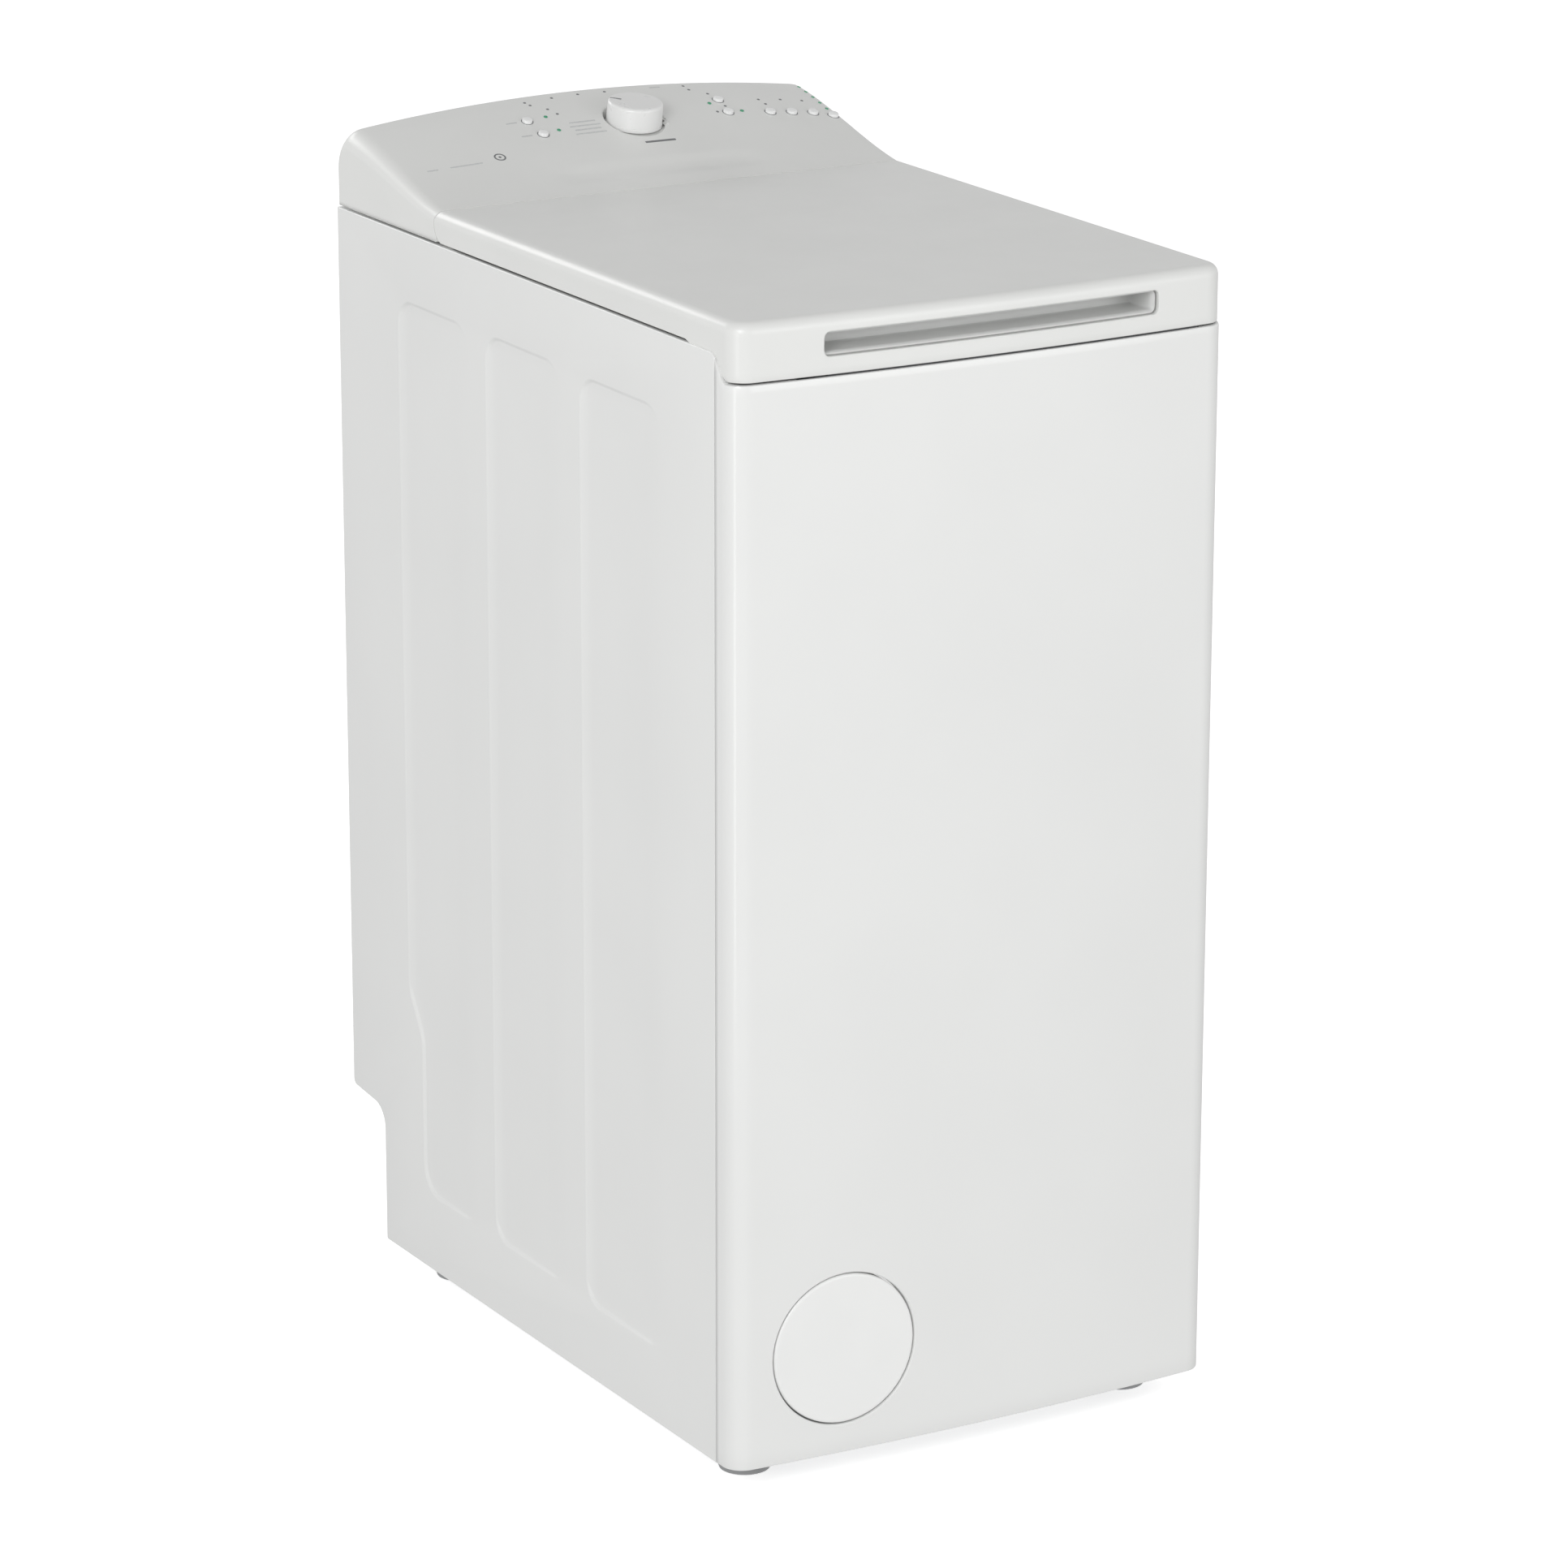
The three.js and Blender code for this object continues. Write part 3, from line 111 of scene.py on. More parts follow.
FRONT_BOW = 7.5
FRONT_REACH = 182  # how far from the middle the front is divided finely
FRONT_ZONE = -280  # every point in front of this Y is on the bowed front
CORNER_RADIUS = 16
STEP_START = -264
STEP_END = -282
LID_EDGE = 8
EDGE_GROWTH = 6  # how much wider the console's rounded sides are at its crest
HINGE_Y = 131
HINGE_Z = 841
LID_END_RADIUS = 13.8
SWING_GAP = 0.6
SHEET = 1.2  # thickness of the painted steel
WALL = 2.4  # thickness of the lid's and the console's plastic
TOWER_X = 180  # the hinge towers, each side of the middle
LID_ACROSS = 33  # cells across the lid's rear end, so that one spans each hinge tower
CREST_Y = 284
CREST_SIDE = 884
CREST_RISE = CONSOLE_HIGH.z - CREST_SIDE
PANEL_TILT = math.radians(18)
KNOB_TILT = math.radians(10)
KNOB_RECESS = 23.2
KNOB_Y = 236
FILTER = node_middle("filter_cover")
FILTER_RADIUS = (COVER_HIGH.x - COVER_LOW.x) / 2
CORNERS = ("front_left", "front_right", "rear_left", "rear_right")

# ---------- small helpers


def smooth_step(t):
    t = min(max(t, 0.0), 1.0)
    return t * t * (3 - 2 * t)


def spread(start, end, steps):
    """steps + 1 even values from start to end."""
    return [start + (end - start) * i / steps for i in range(steps + 1)]


def arc(cx, cy, radius, start, end, steps):
    """Points of a circular arc. Angles are in degrees."""
    angles = [math.radians(a) for a in spread(start, end, steps)]
    return [(cx + radius * math.cos(a), cy + radius * math.sin(a)) for a in angles]


def spokes(sides):
    """The cosine and sine of each of a circle's sides."""
    turns = [2 * math.pi * k / sides for k in range(sides)]
    return [(math.cos(t), math.sin(t)) for t in turns]


def quarter_round(radius, steps):
    """How far back, and how far short of the full rise, a rounded edge is at each step."""
    turns = [math.radians(a) for a in spread(0, 90, steps)]
    return [(radius * (1 - math.cos(t)), radius * (1 - math.sin(t))) for t in turns]


def rounded(corners, steps=6):
    """The outline round corners given as (a, b, radius), counter-clockwise."""
    out = []
    count = len(corners)
    for i, (a, b, radius) in enumerate(corners):
        here = Vector((a, b))
        back = (Vector(corners[i - 1][:2]) - here).normalized()
        ahead = (Vector(corners[(i + 1) % count][:2]) - here).normalized()
        if radius <= 0:
            out.append((a, b))
            continue
        half = back.angle(ahead) / 2
        centre = here + (back + ahead).normalized() * (radius / math.sin(half))
        first = here + back * (radius / math.tan(half)) - centre
        last = here + ahead * (radius / math.tan(half)) - centre
        sweep = first.angle(last)
        for t in spread(0, 1, steps):
            spoke = first * math.sin((1 - t) * sweep) + last * math.sin(t * sweep)
            out.append(tuple(centre + spoke / math.sin(sweep)))
    return out


def inset(corners, distance):
    """Corners of the same outline moved inwards, with their radii kept concentric."""
    out = []
    count = len(corners)
    for i, (a, b, radius) in enumerate(corners):
        here = Vector((a, b))
        arrive = (here - Vector(corners[i - 1][:2])).normalized()
        leave = (Vector(corners[(i + 1) % count][:2]) - here).normalized()
        inward = Vector((-arrive.y - leave.y, arrive.x + leave.x))
        inward /= 1 + arrive.dot(leave)
        convex = arrive.x * leave.y - arrive.y * leave.x > 0
        moved = here + inward * distance
        new_radius = radius - distance if convex else radius + distance
        out.append((moved.x, moved.y, max(new_radius, 0.2) if radius > 0 else 0))
    return out


def box_corners(a0, a1, b0, b1, radius):
    return [(a0, b0, radius), (a1, b0, radius), (a1, b1, radius), (a0, b1, radius)]


class Shape:
    """Points and faces gathered in millimetres, then made into one piece."""

    def __init__(self):
        self.points = []
        self.faces = []

    def add(self, points):
        start = len(self.points)
        self.points.extend(tuple(p) for p in points)
        return list(range(start, len(self.points)))

    def face(self, indices):
        self.faces.append(tuple(indices))

    def bridge(self, first, second):
        """Quads between two closed rows of equal length."""
        for i in range(len(first)):
            j = (i + 1) % len(first)
            self.face((first[i], first[j], second[j], second[i]))

    def loft(self, rings, cap_last=False):
        rows = [self.add(ring) for ring in rings]
        for first, second in zip(rows, rows[1:]):
            self.bridge(first, second)
        if cap_last:
            self.face(rows[-1])
        return rows

    def solid(self, rings):
        """A loft that is closed at both ends."""
        self.face(reversed(self.loft(rings, True)[0]))
        return self

    def fill(self, outline, holes=()):
        """Triangles between rows of points already added: an outline with holes."""
        loops = [outline, *holes]
        flat = [i for loop in loops for i in loop]
        vectors = [[Vector(self.points[i]) for i in loop] for loop in loops]
        for triangle in tessellate_polygon(vectors):
            self.face([flat[i] for i in triangle])

    def turned(self, profile, centre=(0, 0, 0), axis="z", sides=32, tilt=None):
        """A profile of (radius, height) turned about an axis through centre."""
        rings = []
        for radius, height in profile:
            ring = [Vector((radius * a, radius * b, height)) for a, b in spokes(sides)]
            rings.append([place(point, centre, axis, tilt) for point in ring])
        return self.solid(rings)

    def block(self, low, high, bevel=0.8, steps=2):
        """A box with rounded upright edges and softened top and bottom."""
        corners = box_corners(low[0], high[0], low[1], high[1], bevel * 1.01)
        edge = quarter_round(bevel, steps)
        levels = [(low[2] + rise, back) for rise, back in edge]
        levels += [(high[2] - rise, back) for rise, back in reversed(edge)]
        rings = []
        for z, back in levels:
            rings.append([(a, b, z) for a, b in rounded(inset(corners, back), 3)])
        return self.solid(rings)

    def tube(self, path, radius, sides=12):
        """A round tube along points. Its radius may be a list, one for each point."""
        radii = radius if isinstance(radius, list) else [radius] * len(path)
        rings = []
        points = [Vector(p) for p in path]
        ahead = points[1:] + points[-1:]
        behind = points[:1] + points[:-1]
        tangents = [(a - b).normalized() for a, b in zip(ahead, behind)]
        normal = tangents[0].orthogonal().normalized()
        for point, tangent, reach in zip(points, tangents, radii):
            normal = (normal - tangent * normal.dot(tangent)).normalized()
            other = tangent.cross(normal)
            rings.append([point + reach * (normal * a + other * b) for a, b in spokes(sides)])
        return self.solid(rings)

    def mirrored(self):
        """The same shape for the other side, across X = 0."""
        twin = Shape()
        twin.points = [(-x, y, z) for x, y, z in self.points]
        twin.faces = [tuple(reversed(f)) for f in self.faces]
        return twin


def place(point, centre, axis="z", tilt=None):
    """A point drawn about +Z, turned to +Y or tilted, and moved to centre."""
    if axis == "y":
        point = Vector((point.y, point.z, point.x))
    if tilt is not None:
        point = tilt @ point
    return point + Vector(centre)


def face_outwards(mesh):
    """Welds touching points and turns every face outwards."""
    work = bmesh.new()
    work.from_mesh(mesh)
    bmesh.ops.remove_doubles(work, verts=work.verts, dist=1e-6)
    bmesh.ops.recalc_face_normals(work, faces=work.faces)
    middle = sum((v.co for v in work.verts), Vector()) / max(len(work.verts), 1)
    outward = sum(
        f.normal.dot(f.calc_center_median() - middle) * f.calc_area() for f in work.faces
    )
    if outward < 0:
        bmesh.ops.reverse_faces(work, faces=work.faces)
    work.to_mesh(mesh)
    work.free()


def new_object(name, data):
    made = bpy.data.objects.new(name, data)
    bpy.context.scene.collection.objects.link(made)
    return made


def made_piece(name, shape, material, replaces=(), thick=0):
    """Makes a shape into an object that rides on nothing yet."""
    mesh = bpy.data.meshes.new(name)
    mesh.from_pydata([[c * MM for c in p] for p in shape.points], [], shape.faces)
    face_outwards(mesh)
    mesh.materials.append(material)
    mesh.shade_smooth()
    mesh.set_sharp_from_angle(angle=math.radians(32))
    made = new_object(name, mesh)
    if thick:
        solidify = made.modifiers.new("thickness", "SOLIDIFY")
        solidify.thickness = thick * MM
        solidify.offset = -1
    if replaces:
        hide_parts(*replaces)
    return made


def piece(name, shape, material, body, replaces=(), thick=0):
    """Makes a shape into an object that rides on a body."""
    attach(made_piece(name, shape, material, replaces, thick), body)


def stretched(name, shape, material, replaced):
    """Makes a piece in place of a soft CAD node, on no body, with its placement baked into its
    points.
    """
    made = made_piece(name, shape, material, [replaced])
    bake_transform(made)


# ---------- materials


class Tree:
    """A short way to write a node tree."""

    def __init__(self, owner):
        owner.use_nodes = True
        self.tree = owner.node_tree

    def put(self, node, values):
        """Links each input to the socket given for it, or sets its value."""
        for socket, value in values.items():
            if isinstance(value, bpy.types.NodeSocket):
                self.tree.links.new(value, node.inputs[socket])
            else:
                node.inputs[socket].default_value = value

    def made(self, kind, values, output):
        node = self.tree.nodes.new("ShaderNode" + kind)
        self.put(node, values)
        return node.outputs[output]


class Nodes(Tree):
    """A material's node tree, round its shader."""

    def __init__(self, name):
        self.material = bpy.data.materials.new(name)
        super().__init__(self.material)
        self.shader = self.tree.nodes["Principled BSDF"]
        self.coords = self.made("TexCoord", {}, "Object")

    def noise(self, scale, detail=3.0, roughness=0.5, stretch=None):
        values = {"Scale": scale, "Detail": detail, "Roughness": roughness}
        return self.made("TexNoise", {**values, "Vector": self.stretched(stretch)}, "Fac")

    def cells(self, scale, output="Distance", stretch=None):
        return self.made("TexVoronoi", {"Scale": scale, "Vector": self.stretched(stretch)}, output)

    def stretched(self, stretch):
        if stretch is None:
            return self.coords
        return self.made("Mapping", {"Scale": stretch, "Vector": self.coords}, "Vector")

    def remap(self, value, low, high, start=0.0, end=1.0):
        """Turns value between start and end into low to high."""
        limits = {"From Min": start, "From Max": end, "To Min": low, "To Max": high}
        return self.made("MapRange", {**limits, "Value": value}, "Result")

    def colour(self, color, value, first, second):
        """Makes the base colour run between two shades of color with value."""
        node = self.tree.nodes.new("ShaderNodeMix")
        node.data_type = "RGBA"
        colours = {6: (*shade(color, first), 1), 7: (*shade(color, second), 1)}
        self.put(node, {"Factor": value, **colours})
        self.set(Base_Color=node.outputs[2])

    def bump(self, height, distance, strength, under=None):
        values = {"Strength": strength, "Distance": distance * MM, "Height": height}
        if under is not None:
            values["Normal"] = under
        self.set(Normal=self.made("Bump", values, "Normal"))

    def set(self, **values):
        """Sets or links the shader's inputs, with _ in place of each space in a name."""
        self.put(self.shader, {socket.replace("_", " "): v for socket, v in values.items()})


def shade(color, factor):
    return tuple(min(c * factor, 1.0) for c in color)


def enamel(name, color):
    """Baked enamel on sheet steel: a faint orange peel under a clear gloss."""
    n = Nodes(name)
    n.colour(color, n.remap(n.noise(9, 2), 0, 1, 0.35, 0.65), 0.985, 1)
    n.set(Roughness=n.remap(n.noise(60, 3), 0.3, 0.38), Coat_Weight=0.35, Coat_Roughness=0.12)
    n.bump(n.noise(650, 1.5), 0.012, 0.5)
    return n.material


def moulded(name, color, roughness=0.34, grain=0.02, grain_scale=1400, coat=0.15):
    """Injection moulded plastic with a fine spark-eroded grain."""
    n = Nodes(name)
    n.colour(color, n.remap(n.noise(14, 2), 0, 1, 0.35, 0.65), 0.98, 1)
    n.set(Roughness=n.remap(n.noise(90, 3), roughness - 0.04, roughness + 0.05))
    n.set(Coat_Weight=coat, Coat_Roughness=0.2)
    n.bump(n.noise(grain_scale, 2), grain, 0.6)
    return n.material


def brushed(name, color, stretch, roughness=0.26):
    """Rolled stainless steel with fine lines along one way."""
    n = Nodes(name)
    lines = n.noise(1, 5, 0.65, stretch)
    n.colour(color, lines, 0.93, 1.04)
    wear = n.remap(lines, roughness - 0.04, roughness + 0.06, 0.3, 0.7)
    n.set(Metallic=1.0, Roughness=wear)
    n.bump(lines, 0.004, 0.3)
    return n.material


def galvanised(name, color):
    """Zinc coated sheet with its large flat crystals."""
    n = Nodes(name)
    tone = n.made("RGBToBW", {"Color": n.cells(120, "Color")}, "Val")
    n.colour(color, tone, 0.84, 1.08)
    n.set(Metallic=0.85, Roughness=n.remap(tone, 0.32, 0.5))
    n.bump(n.noise(300, 2), 0.02, 0.4)
    return n.material


def rubber(name, color):
    """Moulded rubber: matt, with a dusty bloom."""
    n = Nodes(name)
    bloom = n.noise(38, 5, 0.6)
    n.colour(color, n.remap(bloom, 0, 1, 0.4, 0.75), 1, 1.7)
    n.set(Roughness=n.remap(bloom, 0.62, 0.85))
    n.bump(n.noise(900, 3), 0.05, 0.5)
    return n.material


def cast_metal(name, color):
    """Die cast alloy with a sandy skin."""
    n = Nodes(name)
    sand = n.noise(500, 4, 0.6)
    n.colour(color, sand, 0.8, 1)
    n.set(Metallic=0.9, Roughness=n.remap(sand, 0.38, 0.6))
    n.bump(sand, 0.12, 0.5)
    return n.material


def concrete(name, color):
    """A cast counterweight: speckled, with air pits."""
    n = Nodes(name)
    speckle = n.noise(160, 6, 0.7)
    n.colour(color, speckle, 0.7, 1.25)
    n.set(Roughness=0.92)
    grit = {"Strength": 0.6, "Distance": 0.5 * MM, "Height": speckle}
    n.bump(n.remap(n.cells(90), 0, 1, 0.05, 0.2), 0.8, 0.6, n.made("Bump", grit, "Normal"))
    return n.material


def circuit_board(name, color):
    """Lacquered board with the edges of its copper tracks showing through."""
    n = Nodes(name)
    tracks = n.remap(n.cells(130, "Distance", (1, 2.4, 1)), 0, 1, 0.28, 0.34)
    n.colour(color, tracks, 1, 1.9)
    n.set(Roughness=0.35, Coat_Weight=0.4)
    n.bump(tracks, 0.04, 0.6)
    return n.material


def ink(name, color, roughness=0.45):
    """Pad printing: thin, slightly uneven ink."""
    n = Nodes(name)
    wear = n.noise(700, 4, 0.6)
    n.colour(color, n.remap(wear, 0, 1, 0.3, 0.7), 1, 1.25)
    n.set(Roughness=n.remap(wear, roughness - 0.05, roughness + 0.1))
    return n.material


WHITE_ENAMEL = enamel("white_enamel", (0.77, 0.775, 0.765))
WHITE_PLASTIC = moulded("white_plastic", (0.745, 0.75, 0.735))
KNOB_PLASTIC = moulded("knob_plastic", (0.79, 0.792, 0.785), 0.28, 0.008)
BUTTON_PLASTIC = moulded("button_plastic", (0.84, 0.845, 0.84), 0.25, 0.006)
COVER_PLASTIC = moulded("cover_plastic", (0.82, 0.825, 0.815), 0.33, 0.012)
INNER_PLASTIC = moulded("inner_plastic", (0.68, 0.685, 0.675), 0.42, 0.04, 900, 0.05)
POCKET_PLASTIC = moulded("pocket_plastic", (0.66, 0.665, 0.655), 0.4, 0.03, 1100, 0.1)
GREY_PLASTIC = moulded("grey_plastic", (0.42, 0.45, 0.47), 0.42, 0.04, 900, 0.05)
TRAY_PLASTIC = moulded("tray_plastic", (0.5, 0.56, 0.62), 0.32, 0.02, 900, 0.1)
FOOT_PLASTIC = moulded("foot_plastic", (0.3, 0.305, 0.31), 0.45, 0.04, 900, 0)
DARK_PLASTIC = moulded("dark_plastic", (0.028, 0.029, 0.031), 0.5, 0.06, 800, 0)
TUB_PLASTIC = moulded("tub_plastic", (0.52, 0.53, 0.51), 0.5, 0.12, 420, 0)
ZINC = galvanised("zinc_sheet", (0.5, 0.515, 0.53))
DRUM_STEEL = brushed("drum_steel", (0.6, 0.605, 0.61), (30, 900, 900))
SPRING_STEEL = brushed("spring_steel", (0.3, 0.3, 0.31), (200, 200, 200), 0.38)
HEATER_STEEL = brushed("heater_steel", (0.5, 0.49, 0.47), (60, 600, 600), 0.3)
BEARING_STEEL = brushed("bearing_steel", (0.62, 0.63, 0.64), (900, 80, 80), 0.18)
SCREW_STEEL = brushed("screw_steel", (0.45, 0.46, 0.48), (300, 300, 300), 0.34)
BLACK_RUBBER = rubber("black_rubber", (0.035, 0.036, 0.038))
GREY_RUBBER = rubber("grey_rubber", (0.17, 0.175, 0.18))
PULLEY_ALLOY = cast_metal("pulley_alloy", (0.55, 0.56, 0.57))
CONCRETE = concrete("weight_concrete", (0.33, 0.325, 0.31))
BOARD = circuit_board("board_lacquer", (0.02, 0.12, 0.055))
MOTOR_PAINT = cast_metal("motor_paint", (0.06, 0.062, 0.066))
GREY_INK = ink("grey_ink", (0.16, 0.165, 0.17))
PALE_INK = ink("pale_ink", (0.5, 0.51, 0.51))
GREEN_LENS = ink("green_lens", (0.05, 0.3, 0.16), 0.2)

# ---------- shared outlines


def front_y(x):
    return FRONT_Y + FRONT_BOW * (x / HALF_WIDTH) ** 2


def on_front(x, z, depth):
    """A point of the bowed front, or at a depth behind it."""
    return (x, front_y(x) + depth, z)


def circle_edge(centre, radius):
    """A function that gives the nearest point of a circle."""

    def nearest(a, b):
        way = Vector((a - centre[0], b - centre[1])).normalized() * radius
        return centre[0] + way.x, centre[1] + way.y

    return nearest


def step_height(y):
    """The height of the seam under the lid's skirt, down the step to the front."""
    t = (y - STEP_END) / (STEP_START - STEP_END)
    return FRONT_TOP + smooth_step(t) * (SIDE_TOP - FRONT_TOP)


def plan_path(half_width, xs, rear, inner=0.0, across=0, side_steps=8):
    """The outline from above: down the left side, across the bowed front, up the right side.

    xs are the places across the front. inner moves the outline inwards. The outline closes
    along its rear with across steps.
    """
    straight = half_width - CORNER_RADIUS
    radius = CORNER_RADIUS - inner
    half = half_width - inner
    corner_y = front_y(straight) + inner + radius
    left = [(-half, y) for y in spread(rear, corner_y, side_steps)[:-1]]
    left += arc(-straight, corner_y, radius, 180, 270, 10)
    front = [(x, front_y(x) + inner) for x in xs if abs(x) < straight - 0.5]
    path = left + front + [(-x, y) for x, y in reversed(left)]
    if across:
        path += [(x, rear) for x in spread(half, -half, across)[1:-1]]
    return path


def eased(start, end, fine, steps):
    """Values from start to end that lie closer together near both ends."""
    near = [start + f for f in fine]
    far = [end - f for f in reversed(fine)]
    return near + spread(near[-1], far[0], steps)[1:-1] + far


def panel_height(x, y):
    """The height of the control panel's skin, without its recess."""
    crest = CREST_SIDE + CREST_RISE * (1 - (x / HALF_WIDTH) ** 2)
    t = min(max((y - CONSOLE_FRONT) / (CREST_Y - CONSOLE_FRONT), 0), 1)
    ramp = 0.65 * t + 0.35 * smooth_step(t)
    radius = LID_EDGE + EDGE_GROWTH * t
    u = max(0.0, (abs(x) - TOP_HALF_WIDTH + radius) / radius)
    drop = radius * (1 - math.sqrt(max(0.0, 1 - u * u)))
    return LID_TOP + (crest - LID_TOP) * ramp - drop


def grip_recess(x, y):
    """The depth of the long shallow recess in front of the controls."""
    middle_x, middle_y, half_length, half_width = 6, 173, 74, 2
    along = max(abs(x - middle_x) - half_length, 0)
    across = max(abs(y - middle_y) - half_width, 0)
    depth, slope = 1.6, 13
    return depth * (1 - smooth_step(math.hypot(along, across) / slope))


def panel_point(x, y, above=0.0):
    """A point on the control panel, or a little above it along its normal."""
    here = panel_height(x, y) - grip_recess(x, y)
    lean = (panel_height(x, y + 1) - panel_height(x, y - 1)) / 2
    roll = (panel_height(x + 1, y) - panel_height(x - 1, y)) / 2
    normal = Vector((-roll, -lean, 1)).normalized()
    return Vector((x, y, here)) + normal * above


# ---------- cabinet skins

FIELD_FLOOR = (8, 11, 15, 20, 26, 33)


def pressed_field(shape, corners, depth, edge, at, ramps=(1, 1)):
    """A shallow field pressed into a sheet. at(a, b, depth) gives a point of the sheet.

    ramps are how far its low-a and high-a sides take to reach the full depth. Returns its
    outer edge.
    """
    low = min(a for a, _, _ in corners)
    high = max(a for a, _, _ in corners)

    def ring(distance, progress):
        points = []
        for a, b in rounded(inset(corners, distance), 8):
            gentle = smooth_step((a - low) / ramps[0]) * smooth_step((high - a) / ramps[1])
            points.append(at(a, b, depth * smooth_step(progress) * gentle))
        return points

    rings = [ring(t * edge, t) for t in spread(0, 1, 8)]
    rings += [ring(edge + floor, 1) for floor in FIELD_FLOOR]
    return shape.loft(rings, cap_last=True)[0]


def rolled_sheet(shape, outline, roll, flange, at):
    """The rounded edge and the folded flange of a sheet. Returns the edge of its flat."""
    rings = [[at(a, b, flange) for a, b in rounded(outline, 6)]]
    for back, sunk in quarter_round(roll, 4):
        rings.append([at(a, b, sunk) for a, b in rounded(inset(outline, back), 6)])
    return shape.loft(rings)[-1]


def side_skin():
    """The left panel: rolled edges, a toe notch and three pressed fields."""
    shape = Shape()

    def at(y, z, depth):
        return (-HALF_WIDTH + depth, y, z)

    edge = SEAM_Y + 0.3
    toe_y = 247
    outline = [(edge, BOTTOM, 0), (toe_y, BOTTOM, 2), (toe_y, 128, 18), (REAR_Y, 133, 5)]
    outline += [(REAR_Y, SIDE_TOP, 0), (STEP_START, SIDE_TOP, 3), (edge, step_height(edge), 0)]
    flat = rolled_sheet(shape, outline, 0.9, 15, at)
    rear_field = [(90, 81, 22), (182, 81, 24), (182, 204, 30)]
    rear_field += [(204, 240, 30), (204, 776, 22), (90, 776, 22)]
    fields = [rear_field, box_corners(-50, 66, 80, 776, 22), box_corners(-195, -76, 78, 774, 22)]
    holes = [pressed_field(shape, field, 2.0, 3.6, at, (48, 9)) for field in fields]
    shape.fill(flat, holes)
    return shape


def front_skin():
    """The bowed front, wrapped round both corners, with the hole for the filter cover."""
    shape = Shape()
    radius = FILTER_RADIUS + 1.1
    margin = radius + 9
    fine = (0, 4, 9)
    block_x = eased(FILTER.x - margin, FILTER.x + margin, fine, 14)
    block_z = eased(FILTER.z - margin, FILTER.z + margin, fine, 14)
    xs = [block_x[0] - 4] + block_x + spread(block_x[-1], FRONT_REACH, 20)[1:]
    path = plan_path(HALF_WIDTH, xs, SEAM_Y, side_steps=2)

    def row(height, inner=0.0):
        outline = plan_path(HALF_WIDTH, xs, SEAM_Y, inner, side_steps=2)
        return [(x, y, height(y)) for x, y in outline]

    start = FRONT_TOP - 24
    flange, roll, bend = 12, 1.4, 0.4
    levels = [BOTTOM + roll] + block_z + spread(block_z[-1], start, 16)[1:]
    rings = [row(lambda y: BOTTOM, flange), row(lambda y: BOTTOM, roll)]
    rings.append(row(lambda y: BOTTOM + bend, bend))
    first_level = len(rings)
    rings += [row(lambda y, z=z: z) for z in levels]
    for t in spread(0, 1, 5)[1:]:
        rings.append(row(lambda y, t=t: start + t * (step_height(y) - roll - start)))
    rings.append(row(lambda y: step_height(y) - bend, bend))
    rings += [row(step_height, roll), row(step_height, flange)]

    lip = [(0.9, 0.1), (0.25, 0.5), (0, 1.2), (0, 8)]
    columns = [i for i, (x, y) in enumerate(path) if y < FRONT_ZONE and x in block_x]
    lines = [first_level + 1 + i for i in range(len(block_z))]
    hole = circle_edge((FILTER.x, FILTER.z), radius)
    punched_loft(shape, rings, columns, lines, hole, on_front, lip)
    return shape


def punched_loft(shape, rings, columns, lines, hole_at, skin, lip, closed=False, flat=(0, 2)):
    """A loft with a hole in the block between given columns and rings.

    hole_at(a, b) is the hole's edge nearest a point of the block's edge, in the two axes in
    flat. lip lists the (growth, depth) of the rolled edge inside the hole. Returns the lip's
    last loop and its (a, b) places.
    """
    rows = [shape.add(ring) for ring in rings]
    width = len(rings[0])
    for r in range(len(rows) - 1):
        for c in range(width if closed else width - 1):
            inside = lines[0] <= r < lines[-1] and columns[0] <= c < columns[-1]
            if not inside:
                d = (c + 1) % width
                shape.face((rows[r][c], rows[r][d], rows[r + 1][d], rows[r + 1][c]))
    around = [(lines[0], c) for c in columns]
    around += [(r, columns[-1]) for r in lines[1:]]
    around += [(lines[-1], c) for c in reversed(columns[:-1])]
    around += [(r, columns[0]) for r in reversed(lines[1:-1])]
    last = [rows[r][c] for r, c in around]
    outer = [Vector((rings[r][c][flat[0]], rings[r][c][flat[1]])) for r, c in around]
    edge = [Vector(hole_at(*place_at)) for place_at in outer]
    ways = [(far - near).normalized() for far, near in zip(outer, edge)]
    loops = [[skin(*((far + near) / 2), 0) for far, near in zip(outer, edge)]]
    for growth, depth in [(lip[0][0], 0), *lip]:
        loops.append([skin(*(near + way * growth), depth) for near, way in zip(edge, ways)])
    for loop in loops:
        new = shape.add(loop)
        shape.bridge(last, new)
        last = new
    return last, edge


def filter_disc():
    """The round cover over the pump filter, flush with the bowed front."""
    shape = Shape()
    radius = FILTER_RADIUS
    profile = [(0, 9), (0, 1.6), (0.25, 0.8), (0.8, 0.25), (1.6, 0), (3, 0)]
    profile += [(t, 0) for t in spread(8, radius - 6, 5)]
    rings = []
    for back, depth in profile:
        ring = [FILTER + (radius - back) * Vector((a, 0, b)) for a, b in spokes(72)]
        rings.append([on_front(x, z, depth + 0.35) for x, _, z in ring])
    shape.loft(rings, cap_last=True)
    return shape


# ---------- lid

SLOT_LOW = (-130, 821)
SLOT_HIGH = (140, 838)
SLOT_RADIUS = 4.5
SLOT_DEPTH = 34


def nearest_on_slot(x, z):
    """The nearest point of the grip slot's edge, from outside it."""
    inner_x = min(max(x, SLOT_LOW[0] + SLOT_RADIUS), SLOT_HIGH[0] - SLOT_RADIUS)
    inner_z = min(max(z, SLOT_LOW[1] + SLOT_RADIUS), SLOT_HIGH[1] - SLOT_RADIUS)
    way = Vector((x - inner_x, z - inner_z)).normalized() * SLOT_RADIUS
    return inner_x + way.x, inner_z + way.y


